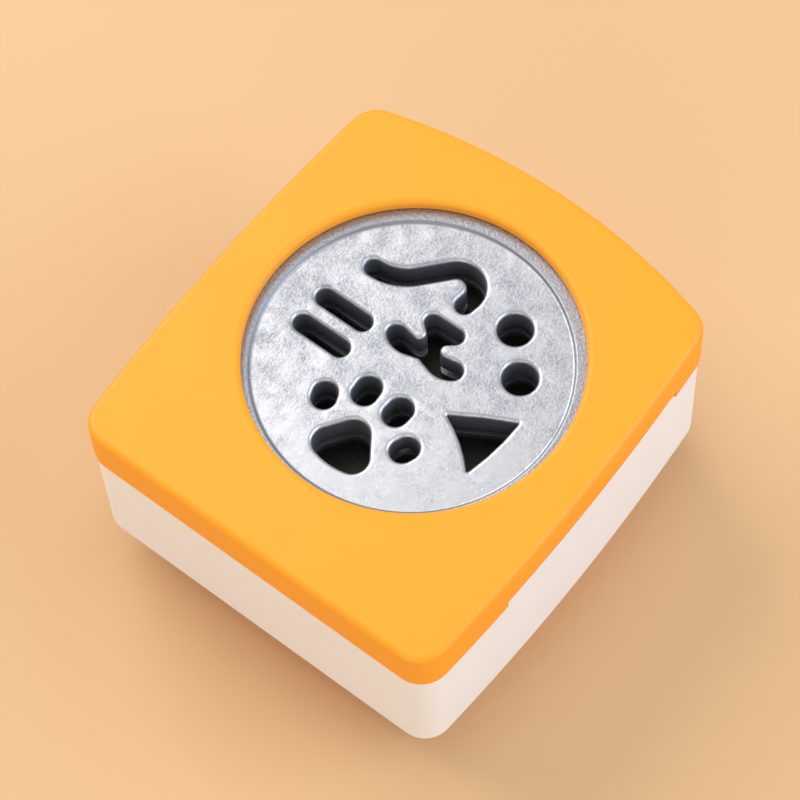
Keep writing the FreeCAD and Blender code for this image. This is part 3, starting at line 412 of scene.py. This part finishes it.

# %% [markdown]
# ### Cast zinc
#
# Die plate and guide plate are cast zinc, tumbled but not polished. The metal is light grey. Its skin froze against
# the steel mould in patches: mostly frosted with a fine pebble, smoother and glossier where it flowed last, with a
# few faint cold marks and pin holes. The pebble is about 0.45 mm and the patches are about 3 mm across. The
# pebble's hollows are painted a little darker than the rest, as dirt and painted shade.

# %% Cast zinc
def cast_zinc(name):
    """Zinc in patches. Where the patch noise is high the skin is bright and smooth, where it is low grey and frosted.

    The noise rises by a slope towards the front right, where the metal came in, and falls to nothing on the raised
    ring, which is frosted all over. Four reliefs lie on top of each other: slow waves, pebble, cold marks and pin
    holes. A cold mark is where the mark noise is close to its middle value, which draws thin winding lines. Inside
    the openings, and on the step round the disc, the skin is duller and painted a darker grey as painted shade.
    """
    material, tree, place = start_finish(name)
    patches = add(tree, "TexNoise", {
        "Vector": place, "Scale": 1 / (2.8 * MM), "Detail": 6.0, "Roughness": 0.62, "Distortion": 0.4,
    }).outputs["Fac"]
    to_gate = add(
        tree, "VectorMath", {0: place, 1: (0.45, -0.89, 0.0)}, operation="DOT_PRODUCT"
    ).outputs["Value"]
    flow = ramp(tree, to_gate, 0.0, 16 * MM, 0.0, 0.2)
    height = add(tree, "SeparateXYZ", {"Vector": place}).outputs["Z"]
    # Painted shade: below the disc's top and on the step the metal is drawn a darker grey, in place of shade on the
    # walls.
    clear_of_wall_shade = ramp(tree, height, DISC_TOP - 0.8 * MM, DISC_TOP - 0.02 * MM)
    middle = (DISC_TOP + DIE_TOP) / 2
    smooth = ramp(tree, math_of(tree, "ADD", patches, flow), 0.36, 0.66)
    smooth = math_of(tree, "SUBTRACT", smooth, ramp(tree, height, middle, DIE_TOP), use_clamp=True)
    off_step = math_of(tree, "ABSOLUTE", math_of(tree, "SUBTRACT", height, middle))
    face = math_of(tree, "MINIMUM", clear_of_wall_shade, ramp(tree, off_step, 0.12 * MM, 0.19 * MM))
    frost = ramp(tree, smooth, 0.0, 1.0, 1.0, 0.1)
    pebble = add(tree, "TexNoise", {
        "Vector": place, "Scale": 1 / (0.45 * MM), "Detail": 3.0, "Roughness": 0.65,
    }).outputs["Fac"]
    # The pebble's hollows are painted darker, as dirt and painted shade in them.
    pits = math_of(tree, "MULTIPLY", ramp(tree, pebble, 0.46, 0.62, 0.0, 0.45), frost)
    skin_tone = blend(tree, pits, blend(tree, smooth, "#B6B8BE", "#D5D6DA"), "#7E8087")
    skin_rough = ramp(tree, smooth, 0.0, 1.0, 0.44, 0.35)

    waves = add(tree, "TexNoise", {"Vector": place, "Scale": 1 / (2.6 * MM), "Detail": 2.0}).outputs["Fac"]
    winding = add(tree, "TexNoise", {
        "Vector": place, "Scale": 1 / (3.0 * MM), "Detail": 4.0, "Distortion": 1.5,
    }).outputs["Fac"]
    holes = add(tree, "TexVoronoi", {"Vector": place, "Scale": 1 / (1.6 * MM), "Randomness": 1.0}).outputs["Distance"]
    skin = relief(tree, waves, 0.2, 0.2 * MM)
    skin = relief(tree, pebble, frost, -0.08 * MM, below=skin)
    skin = relief(tree, math_of(tree, "COMPARE", winding, 0.5, 0.008), 0.1, 0.02 * MM, below=skin)
    skin = relief(tree, ramp(tree, holes, 0.03, 0.09), 0.4, 0.05 * MM, below=skin)
    return finish_with(
        material, tree,
        # The darker grey #93959B on the opening walls and the step is painted shade.
        Base_Color=blend(tree, face, "#93959B", skin_tone),
        Metallic=ramp(tree, face, 0.0, 1.0, 0.85, 1.0),
        Roughness=add(tree, "Mix", {0: face, 2: 0.5, 3: skin_rough}).outputs[0],
        Normal=skin,
    )


die_zinc = cast_zinc("zinc_cast")
print("made", die_zinc.name)

# %% [markdown]
# ### Steels and acetal
#
# The punches are hardened tool steel, blackened in hot salts: nearly black, with a dull gleam on the ground faces.
# Posts, springs and screws are bright steel. The posts are ground round, so fine rings run across them, which is
# drawn as noise squeezed along Z. The punch carrier is acetal (POM), a waxy grey plastic.

# %% Steel, black or bright, and acetal
def drawn_steel(name, light, deep, roughness):
    """Steel with fine marks square to Z: noise whose coordinates are stretched eight times along Z."""
    material, tree, place = start_finish(name)
    squeezed = add(tree, "Mapping", {"Vector": place, "Scale": (1.0, 1.0, 8.0)})
    marks = add(tree, "TexNoise", {
        "Vector": squeezed.outputs["Vector"], "Scale": 1 / (0.8 * MM), "Detail": 4.0,
    }).outputs["Fac"]
    return finish_with(
        material, tree,
        Base_Color=blend(tree, marks, deep, light),
        Metallic=1.0,
        Roughness=ramp(tree, marks, 0.0, 1.0, roughness - 0.08, roughness + 0.08),
        Normal=relief(tree, marks, 0.15, 0.01 * MM),
    )


black_steel = drawn_steel("tool_steel_blackened", light="#3A3833", deep="#24231F", roughness=0.42)
bright_steel = drawn_steel("steel_ground", light="#D2D3D6", deep="#B9BABE", roughness=0.25)
grey_acetal = moulded_abs("acetal_grey", light="#A7A9AC", deep="#9C9EA2")
print("made", black_steel.name, bright_steel.name, grey_acetal.name)

# %% [markdown]
# ## Where the screws and posts stand
#
# Four screws run up through the body into the cover, four hold the die plate and four the punch carrier, and the
# button slides on four posts. Each of these needs a hole or a boss. All of them stand in mirrored pairs, so one
# function gives the four places.

# %% Places of screws and posts
def four(x, front, rear):
    """Four places, mirrored about the middle line."""
    return [np.array(place) for place in ((-x, front), (x, front), (x, rear), (-x, rear))]


SCREW_INSET, REAR_SCREW_INSET = 5.2 * MM, 4.2 * MM
casing_screws = four(
    CORNER_X - SCREW_INSET, SCREW_INSET - HALF_LENGTH, HALF_LENGTH - REAR_BULGE - REAR_SCREW_INSET
)
PAST_SLOT, IN_FROM_EDGE = 2.5 * MM, 1.83 * MM
die_screw_reach = SLOT_HALF + PAST_SLOT
die_screw_spread = math.sqrt((DIE_RADIUS - IN_FROM_EDGE) ** 2 - die_screw_reach**2)
die_screws = four(die_screw_spread, WINDOW[1] - die_screw_reach, WINDOW[1] + die_screw_reach)
CARRIER_REACH = 9.2 * MM
carrier_screws = four(18.3 * MM, WINDOW[1] - CARRIER_REACH, WINDOW[1] + CARRIER_REACH)
guide_posts = four(14.0 * MM, WINDOW[1] - 21.5 * MM, WINDOW[1] + 16.0 * MM)
print("casing screws at", [tuple(np.round(place / MM, 2)) for place in casing_screws])

# %% [markdown]
# ## The cover
#
# The cover is a shallow tray, 2 mm thick, with a 1 mm rounding on its top edge and 0.8 mm on the window's rim. The
# window's wall turns outwards again at its foot, which leaves a dark crevice above the die plate. The side walls are
# cut away where the nori goes in, and a ring inside holds the die plate in place. The walk round the section starts
# at the foot of the window. At the slot every step that would be lower than the slot's top is lifted to it, and the
# doubled points of the outline turn that into a clean step. The window's rings must have the outline's number of
# points, so each of them lies in line with a point of the outline.

# %% Build the cover
TOP_ROUND, RIM_ROUND, FOOT_ROUND, LIP_ROUND = 1.0 * MM, 0.8 * MM, 0.5 * MM, 0.2 * MM
COVER_WALL, TONGUE_PLAY = 2.0 * MM, 0.1 * MM
REBATE, REBATE_TOP = 1.1 * MM, TONGUE_TOP + TONGUE_PLAY
RING_PLAY, RING_REACH, RING_DEPTH = 0.2 * MM, 1.4 * MM, 3.0 * MM
RING_INNER, RING_OUTER, RING_UNDER = DIE_RADIUS + RING_PLAY, DIE_RADIUS + RING_REACH, ROOF_UNDER - RING_DEPTH


def wall_rings(profile, depth=CORNER_ROUND, lowest=-1.0, highest=1.0):
    """A ring of the outline for each (inset, height) pair, with its height kept within limits at the slot."""
    return [
        level(outline(inset, depth), np.where(AT_SLOT, np.clip(height, lowest, highest), height))
        for inset, height in profile
    ]


def window_rings(profile):
    """A round ring for each (radius, height) pair, with a point in line with each point of the outline."""
    ways = outline(TOP_ROUND) - WINDOW
    ways /= np.linalg.norm(ways, axis=1, keepdims=True)
    return [level(WINDOW + radius * ways, height) for radius, height in profile]


foot = rounding(WINDOW_RADIUS + FOOT_ROUND, ROOF_UNDER + FOOT_ROUND, FOOT_ROUND, 180, 90, steps=4)
rim = rounding(WINDOW_RADIUS + RIM_ROUND, TOP - RIM_ROUND, RIM_ROUND, 90, 0)
outside = [
    *rounding(TOP_ROUND, TOP - TOP_ROUND, TOP_ROUND, 0, 90, steps=12),
    (0.0, SLOT_TOP),
    *rounding(LIP_ROUND, PARTING + LIP_ROUND, LIP_ROUND, 90, 180, steps=4),
]
inside = [
    (REBATE, PARTING), (REBATE, REBATE_TOP), (COVER_WALL, REBATE_TOP),
    (COVER_WALL, SLOT_TOP), (COVER_WALL, ROOF_UNDER),
]
locating_ring = [
    (RING_OUTER, ROOF_UNDER), (RING_OUTER, RING_UNDER), (RING_INNER, RING_UNDER), (RING_INNER, ROOF_UNDER),
]
cover_shell = loft([
    *window_rings(foot + rim),
    *wall_rings(outside + inside, lowest=SLOT_TOP),
    *window_rings(locating_ring + foot[:1]),
])
BOSS, PILOT, PILOT_DEPTH, EMBED = 2.6 * MM, 1.27 * MM, 5.0 * MM, 0.5 * MM
cover_boss = [
    (0.0, ROOF_UNDER + EMBED), (BOSS, ROOF_UNDER + EMBED), (BOSS, PARTING), (PILOT, PARTING),
    (PILOT, PARTING + PILOT_DEPTH), (0.0, PARTING + PILOT_DEPTH),
]
make_piece(
    "cover_of_die", [cover_shell, *[turned(place, cover_boss) for place in casing_screws]],
    orange_abs, "die_cover",
)

# %% [markdown]
# ## The body
#
# The body is the tray's other half. It stands 0.25 mm inside the cover's face, which makes the fine shadow line
# between them, and a tongue on its edge fits into the cover. Its underside is a ledge with a large hole for the
# button, and the four screws go up in deep sinks beside that hole. A post that runs into a wall is a closed surface
# of its own that ends inside the wall, and the sink's sleeve is a hundredth of a millimetre narrower than its hole,
# so that no two faces lie in one place.

# %% Build the body
BODY_INSET, BODY_WALL, TONGUE = 0.25 * MM, 2.25 * MM, 1.2 * MM
BASE_ROUND, EDGE_ROUND = 0.6 * MM, 0.15 * MM
BUTTON_INSET, BUTTON_DEPTH, BUTTON_PLAY = 6.5 * MM, 22.5 * MM, 0.35 * MM

button_hole = outline(BUTTON_INSET - BUTTON_PLAY, BUTTON_DEPTH)
body_profile = [
    (BODY_WALL, LEDGE_TOP), (BODY_WALL, PARTING), (BODY_WALL, TONGUE_TOP),
    (TONGUE, TONGUE_TOP), (TONGUE, PARTING),
    *rounding(BODY_INSET + EDGE_ROUND, PARTING - EDGE_ROUND, EDGE_ROUND, 0, 90, steps=4),
    *rounding(BODY_INSET + BASE_ROUND, BASE + BASE_ROUND, BASE_ROUND, 90, 180),
]
body_walls = loft(wall_rings(body_profile, highest=PARTING))

SINK, SHANK, POST, SINK_DEPTH, SLEEVE_PLAY = 2.5 * MM, 1.45 * MM, 3.4 * MM, 8.0 * MM, 0.01 * MM
SINK_TOP = BASE + SINK_DEPTH
ledge_holes = [button_hole, *[circle(place, SINK, ROUND_SIDES) for place in casing_screws]]
hole_walls = [loft([level(hole, BASE), level(hole, LEDGE_TOP)]) for hole in ledge_holes]
underside = fill([outline(BODY_INSET + BASE_ROUND), *ledge_holes], BASE, up=False)
ledge_top = fill([outline(BODY_WALL), *ledge_holes], LEDGE_TOP, up=True)

SLEEVED = SINK - SLEEVE_PLAY
screw_post = [
    (SLEEVED, BASE + EMBED), (SLEEVED, SINK_TOP), (SHANK, SINK_TOP), (SHANK, GUIDE_UNDER),
    (POST, GUIDE_UNDER), (POST, BASE + EMBED), (SLEEVED, BASE + EMBED),
]
make_piece(
    "body_of_punch",
    [body_walls, *hole_walls, underside, ledge_top, *[turned(place, screw_post) for place in casing_screws]],
    white_abs, "body_shell",
)

# %% [markdown]
# ## The press button
#
# The button is a cup with a broad, flat face and generous corners, made so that a palm can push it. A flange keeps
# it from falling out of the body. Inside stand four sleeves that slide on the posts and four bosses for the carrier.
# Its floor and its face have no holes, so each is closed by a ring whose points all lie in the middle.

# %% Build the press button
FACE_ROUND, CUP_FLOOR, CUP_WALL = 1.5 * MM, 2.0 * MM, 8.3 * MM
FLANGE = 5.3 * MM
cup_profile = [
    (CUP_WALL, CUP_FLOOR), (CUP_WALL, FLANGE_TOP), (FLANGE, FLANGE_TOP), (FLANGE, FLANGE_UNDER),
    (BUTTON_INSET, FLANGE_UNDER),
    *rounding(BUTTON_INSET + FACE_ROUND, FACE_ROUND, FACE_ROUND, 90, 180, steps=12),
]
pole = np.zeros((len(AT_SLOT), 2))
cup = loft([level(pole, CUP_FLOOR), *wall_rings(cup_profile, BUTTON_DEPTH), level(pole, 0.0)])

SPRING_SPACE = 11.0 * MM
SLEEVE_TOP = GUIDE_UNDER - SPRING_SPACE
BORE, SLEEVE, ROOT = 1.56 * MM, 2.5 * MM, CUP_FLOOR - EMBED
sleeve = [(BORE, ROOT), (BORE, SLEEVE_TOP), (SLEEVE, SLEEVE_TOP), (SLEEVE, ROOT), (BORE, ROOT)]
CARRIER_PILOT, CARRIER_BOSS, CARRIER_PILOT_DEPTH = 1.12 * MM, 3.0 * MM, 7.4 * MM
PILOT_FLOOR = CARRIER_UNDER - CARRIER_PILOT_DEPTH
carrier_boss = [
    (0.0, PILOT_FLOOR), (CARRIER_PILOT, PILOT_FLOOR), (CARRIER_PILOT, CARRIER_UNDER),
    (CARRIER_BOSS, CARRIER_UNDER), (CARRIER_BOSS, ROOT), (0.0, ROOT),
]
make_piece(
    "button_to_press",
    [
        cup,
        *[turned(place, sleeve) for place in guide_posts],
        *[turned(place, carrier_boss) for place in carrier_screws],
    ],
    orange_abs, "press_button",
)

# %% [markdown]
# ## The return springs
#
# Four coil springs push the button out again. They stand round the guide posts, between the button's sleeves and the
# guide plate. A solid can't shorten, so the springs are drawn anew as a wire carried along a helix. At full travel
# the turns still lie clear of each other.

# %% Build the springs
SPRING_RADIUS, SPRING_TURNS = 2.2 * MM, 6.5
WIRE_RADIUS, SPRING_GAP = 0.3 * MM, 0.05 * MM
STEPS_PER_TURN, WIRE_SIDES = 28, 12


def wire_spring(place):
    """A round wire along a helix.

    At each step of angle the wire's circle is spanned by the way out from the helix's axis and the way square to
    both that and the helix's heading. The first and last ring have no radius, which closes the ends.
    """
    rise = (GUIDE_UNDER - SLEEVE_TOP - 2 * (WIRE_RADIUS + SPRING_GAP)) / SPRING_TURNS
    turn = np.linspace(0, 2 * math.pi * SPRING_TURNS, round(SPRING_TURNS * STEPS_PER_TURN) + 1)
    turn = np.pad(turn, 1, mode="edge")
    out = np.stack([np.cos(turn), np.sin(turn), 0 * turn], axis=1)
    heading = np.stack([-np.sin(turn), np.cos(turn), 0 * turn + rise / (2 * math.pi * SPRING_RADIUS)], axis=1)
    across = np.cross(out, heading / np.linalg.norm(heading, axis=1, keepdims=True))
    middle = level(place + SPRING_RADIUS * out[:, :2], SLEEVE_TOP + WIRE_RADIUS + SPRING_GAP)
    middle[:, 2] += rise * turn / (2 * math.pi)
    thick = np.full(len(turn), WIRE_RADIUS)
    thick[[0, -1]] = 0.0
    side = circle((0.0, 0.0), 1.0, WIRE_SIDES)
    spread = side[:, :1] * out[:, None] + side[:, 1:] * across[:, None]
    return loft(middle[:, None] + thick[:, None, None] * spread)


for corner, place in zip(("front_left", "front_right", "rear_right", "rear_left"), guide_posts):
    spring = make_piece(
        f"return_spring_{corner}", [wire_spring(place)], bright_steel, f"spring_{corner}"
    )
    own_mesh(spring)

# %% [markdown]
# ## Outlines as belts round pulleys
#
# The openings are rounded shapes: bars, toes, a pad, a muzzle, an ear and a tail. Each can be drawn as a belt that
# runs round a few pulleys, where a negative radius means a pulley that presses in from outside. The belt's normal
# only turns while it is on a pulley, so a shape is known from the angles at which the belt leaves each one. The
# same normals carry the rounded rim along the shape.

# %% The belt
BELT_STEP = math.radians(6)


def belt(pulleys):
    """Points and outward normals along an anticlockwise belt round pulleys, each an x, a y and a radius.

    Between two pulleys the belt's heading is the way between their centres, less the angle whose sine is the
    difference of their radii over their distance. On a pulley the normal turns from one heading to the next,
    less a quarter turn, and a point is the pulley's centre plus its radius times the normal.
    """
    wheels = np.asarray(pulleys, dtype=float)
    if len(wheels) == 1:
        normals = circle((0.0, 0.0), 1.0, 64)
        return wheels[0, :2] + wheels[0, 2] * normals, normals
    way = np.roll(wheels, -1, axis=0) - wheels
    length = np.hypot(way[:, 0], way[:, 1])
    heading = np.arctan2(way[:, 1], way[:, 0]) - np.arcsin(np.clip(way[:, 2] / length, -1, 1))
    arriving = np.roll(heading, 1)
    turn = (heading - arriving) % (2 * math.pi)
    turn = np.where(wheels[:, 2] < 0, turn - 2 * math.pi, turn)
    points, normals = [], []
    for (x, y, radius), start, sweep in zip(wheels, arriving - math.pi / 2, turn):
        angle = start + np.linspace(0, sweep, math.ceil(abs(sweep) / BELT_STEP) + 1)
        normal = np.stack([np.cos(angle), np.sin(angle)], axis=1)
        normals.append(normal)
        points.append(np.array([x, y]) + radius * normal)
    return np.concatenate(points), np.concatenate(normals)


# %% [markdown]
# ## The twelve openings
#
# Two whiskers, two eyes, an ear, a muzzle and a tail make a cat, and four toes with a pad make a paw. Places are
# from the window's centre. Paw and muzzle share a middle line, so only one half of each is given and the other is
# mirrored.

# %% Shapes of the openings, in millimetres
MIDDLE = 0.2


def capsule(x, y, length, width, tilt):
    """A rounded bar: two pulleys half its width in radius, turned from upright by tilt degrees."""
    reach = (length - width) / 2
    dx, dy = -math.sin(math.radians(tilt)) * reach, math.cos(math.radians(tilt)) * reach
    return [(x - dx, y - dy, width / 2), (x + dx, y + dy, width / 2)]


def mirrored(pulleys):
    """The other half of a shape: mirrored about the middle line and run backwards."""
    return [(2 * MIDDLE - x, y, radius) for x, y, radius in reversed(pulleys)]


def bow(start, end, rise, tip):
    """A pulley for a side that bulges by rise, or is hollow where rise is negative, between two tips.

    An arc over a chord has the radius (chord squared over 4 plus rise squared) over twice the rise.
    """
    chord = math.dist(start, end)
    radius = (chord**2 / 4 + rise**2) / (2 * abs(rise))
    sense = math.copysign(1.0, rise)
    off = sense * (radius - abs(rise)) / chord
    x = (start[0] + end[0]) / 2 - (end[1] - start[1]) * off
    y = (start[1] + end[1]) / 2 + (end[0] - start[0]) * off
    return x, y, sense * radius + tip


def paw():
    """Four toes, each a leaning capsule, and a pad: two lower corners, a sole that touches both, and a top."""
    toes = [
        capsule(MIDDLE + side * spread, y, length, width, -side * tilt)
        for spread, y, length, width, tilt in ((2.55, -6.9, 4.36, 3.36, 4.0), (6.5, -10.65, 3.96, 3.24, 22.0))
        for side in (-1, 1)
    ]
    spread, y, low_round, sole_rise = 1.9, -15.55, 2.15, 7.55
    corner = (MIDDLE + spread, y, low_round)
    sole = (MIDDLE, y + sole_rise, low_round + math.hypot(spread, sole_rise))
    return [*toes, [*mirrored([corner]), sole, corner, (MIDDLE, -12.95, 2.2)]]


def muzzle():
    """A nose over two cheeks, with metal pressed in between them."""
    cheek_x, cheek_y, cheek, chin = MIDDLE + 4.56, 1.99, 1.3, 3.8
    lean = math.radians(128.5)
    half = [
        (cheek_x + (chin - cheek) * math.cos(lean), cheek_y + (chin - cheek) * math.sin(lean), chin),
        (cheek_x, cheek_y, cheek),
        (MIDDLE + 2.25, 3.85, -0.95),
        (MIDDLE + 1.75, 6.15, 1.15),
    ]
    return [(MIDDLE, 0.0, -0.85), *half, *mirrored(half)]


def ear():
    """A triangle with tiny tips and bowed sides."""
    left, low, high, tip = (8.3, -3.45), (14.85, -8.1), (15.9, 0.85), 0.15
    return [
        (*left, tip), bow(left, low, -0.4, tip), (*low, tip),
        bow(low, high, 0.3, tip), (*high, tip), bow(high, left, 0.15, tip),
    ]


def tail():
    """A band 2.5 wide along a middle line: a sweep to the left, a straight run, and a hook to the right."""
    half, sweep_round, hook_round = 1.25, 7.26, 2.65
    slope, turn, run, end_run = 48.4, 147.9, 4.5, 1.0

    def way(degrees):
        """The way at an angle from +X, one unit long."""
        return np.array([math.cos(math.radians(degrees)), math.sin(math.radians(degrees))])

    start = np.array([-12.7, 7.92])
    sweep = start + (0, sweep_round)
    hook = sweep - way(slope + 90) * (sweep_round + hook_round) + way(slope) * run
    end = hook + way(slope - turn + 90) * hook_round + way(slope - turn) * end_run
    return [
        (*start, half), (*sweep, half + sweep_round), (*hook, half - hook_round),
        (*end, half), (*hook, half + hook_round), (*sweep, half - sweep_round),
    ]


openings = [
    capsule(-11.98, 0.62, 8.65, 2.6, 90), capsule(-11.98, -4.1, 8.65, 2.6, 90),
    [(7.6, 11.6, 2.33)], [(12.35, 6.3, 2.33)],
    *paw(), muzzle(), ear(), tail(),
]
print("openings:", len(openings))

# %% [markdown]
# ## The die plate
#
# The die plate is a disc with a raised ring at its edge. The nori is cut at the sharp lower edges of its openings,
# and the upper rims are rounded so that fingers and tumbling don't catch on them. Between disc and ring is a soft
# step, an S of two arcs that each turn 60 degrees. Its circles stand about half a millimetre off the window's
# centre, because the plate sits a little loose in the cover. Each opening's wall and rim is a short profile carried
# along its belt: up the wall, then a quarter round outwards. Two flat faces with holes close the plate.

# %% Build the die plate
OPENING_ROUND = 0.6 * MM
STEP_TURN = 60.0
STEP_CENTRE, STEP_RADIUS = WINDOW + (0.1 * MM, -0.55 * MM), 21.05 * MM
STEP_ROUND = (DIE_TOP - DISC_TOP) / 2 / (1 - math.cos(math.radians(STEP_TURN)))
STEP_HALF = STEP_ROUND * math.sin(math.radians(STEP_TURN))
LEAD_IN = 0.8 * MM
COLUMNS = 256


def carried(points, normals, profile):
    """A surface carried along a belt: each ring is the belt moved out along its normals, at one height."""
    return loft([level(points + out * normals, height) for out, height in profile])


belts = [belt(pulleys) for pulleys in openings]
belts = [(WINDOW + points * MM, normals) for points, normals in belts]
opening_profile = [(0.0, SLOT_TOP), *rounding(OPENING_ROUND, DISC_TOP - OPENING_ROUND, OPENING_ROUND, 90, 0)]
opening_walls = [carried(points, normals, opening_profile) for points, normals in belts]

step_top = rounding(STEP_RADIUS + STEP_HALF, DIE_TOP - STEP_ROUND, STEP_ROUND, STEP_TURN, 0)
step_foot = [(2 * STEP_RADIUS - radius, DIE_TOP + DISC_TOP - height) for radius, height in reversed(step_top)]
plate_profile = [(DIE_RADIUS, DIE_TOP), (DIE_RADIUS, SLOT_TOP + LEAD_IN), (DIE_RADIUS - LEAD_IN, SLOT_TOP)]
plate_edge = loft([
    *[level(circle(STEP_CENTRE, radius, COLUMNS), height) for radius, height in step_foot + step_top[1:]],
    *[level(circle(WINDOW, radius, COLUMNS), height) for radius, height in plate_profile],
])
disc_face = fill(
    [circle(STEP_CENTRE, step_foot[0][0], COLUMNS), *[points + OPENING_ROUND * normals for points, normals in belts]],
    DISC_TOP, up=True,
)
DIE_PILOT, DIE_PILOT_TOP = 1.02 * MM, SLOT_TOP + 3.2 * MM
die_pilot = [(DIE_PILOT, SLOT_TOP), (DIE_PILOT, DIE_PILOT_TOP), (0.0, DIE_PILOT_TOP)]
plate_under = fill(
    [
        circle(WINDOW, DIE_RADIUS - LEAD_IN, COLUMNS), *[points for points, _ in belts],
        *[circle(place, DIE_PILOT, ROUND_SIDES) for place in die_screws],
    ],
    SLOT_TOP, up=False,
)
make_piece(
    "plate_of_dies",
    [plate_edge, *opening_walls, disc_face, plate_under, *[turned(place, die_pilot) for place in die_screws]],
    die_zinc, "die_plate",
)

# %% [markdown]
# ## Finishes for the solids that stay
#
# Guide plate, carrier, punches, posts and screws are seen only through the slot, through the openings or from below,
# and their CAD shapes are right as they are. They keep their meshes and get the finishes from above.

# %% Give the other solids their finishes
solid_finishes = {
    "guide_plate": die_zinc, "punch_carrier": grey_acetal, "punch_": black_steel,
    "post_": bright_steel, "_screws": bright_steel,
}
for name, solid in frame["nodes"].items():
    if not solid.hide_render:
        finish = next(finish for part, finish in solid_finishes.items() if part in name)
        for material_slot in solid.material_slots:
            material_slot.material = finish
        print(name, "->", finish.name)

# %% [markdown]
# ## Floor
#
# The punch stands on a plain, pale, warm floor, which throws a little of its colour on to the white walls. The floor
# lies a hair below the button's face, because two faces in one place would flicker.

# %% Make the floor
FLOOR_HALF, FLOOR_AT = 1.5, -0.05 * MM
floor_mesh = bpy.data.meshes.new("floor")
floor_corners = [(x * FLOOR_HALF, y * FLOOR_HALF, FLOOR_AT) for x, y in ((-1, -1), (1, -1), (1, 1), (-1, 1))]
floor_mesh.from_pydata(floor_corners, [], [(0, 1, 2, 3)])
floor = bpy.data.objects.new("floor", floor_mesh)
bpy.context.scene.collection.objects.link(floor)
floor_finish, floor_tree, _ = start_finish("floor_sand")
floor_mesh.materials.append(finish_with(floor_finish, floor_tree, Base_Color=linear("#DEB281"), Roughness=0.6))
print("floor at height", floor_mesh.vertices[0].co.z)

# %% [markdown]
# ## Light
#
# Soft light shows satin plastic and cast metal best. An even white world gives every surface its plain colour. Three
# large square lamps add gentle directions: the strongest from the left, as from a window, a cooler one from the
# right and a weak one from the front. The left one is what draws a bright line on edges and rims.

# %% Set the light
LAMPS_LOOK_AT = Vector((0.0, 0.0, 0.02))

world = bpy.data.worlds.new("studio")
world.use_nodes = True
world.node_tree.nodes.clear()
sky = add(world.node_tree, "Background", {"Color": (1.0, 1.0, 1.0, 1.0), "Strength": 0.63})
add(world.node_tree, "OutputWorld", {"Surface": sky.outputs["Background"]})
bpy.context.scene.world = world


def softbox(name, place, size, watts, tint="#FFFFFF"):
    """A square soft lamp that points at the punch."""
    data = bpy.data.lights.new(name, "AREA")
    data.size, data.energy, data.color = size, watts, linear(tint)[:3]
    lamp = bpy.data.objects.new(name, data)
    bpy.context.scene.collection.objects.link(lamp)
    lamp.location = place
    lamp.rotation_euler = (LAMPS_LOOK_AT - Vector(place)).to_track_quat("-Z", "Y").to_euler()
    print(name, "of", size, "m at", place)


softbox("window_light", (-0.60, 0.08, 0.54), 0.7, 4.5)
softbox("right_light", (0.56, 0.30, 0.46), 0.6, 3.5, tint="#D6E7FF")
softbox("front_light", (0.32, -0.76, 0.26), 0.7, 1.7)

# %% [markdown]
# ## Camera
#
# The camera looks steeply down on the front right corner with a long lens, a little turned about its own axis. Its
# place follows from where it looks, its angles and its distance.

# %% Set the camera
LOOKS_AT = np.array([2.75, -4.61, 33.4]) * MM
AZIMUTH, ELEVATION, ROLL = math.radians(41.29), math.radians(63.26), math.radians(-3.86)
DISTANCE = 407.9 * MM

camera_data = bpy.data.cameras.new("camera")
camera_data.sensor_width = 36.0
camera_data.lens = 144.3
camera = bpy.data.objects.new("camera", camera_data)
bpy.context.scene.collection.objects.link(camera)
back = Vector((
    math.sin(AZIMUTH) * math.cos(ELEVATION), -math.cos(AZIMUTH) * math.cos(ELEVATION), math.sin(ELEVATION),
))
turned_about_axis = Matrix.Rotation(ROLL, 4, "Z")
camera.matrix_world = (
    Matrix.Translation(Vector(LOOKS_AT) + back * DISTANCE)
    @ back.to_track_quat("Z", "Y").to_matrix().to_4x4()
    @ turned_about_axis
)
bpy.context.scene.camera = camera
bpy.context.scene.view_settings.view_transform = "Standard"
print("camera at", [round(c, 4) for c in camera.matrix_world.translation])
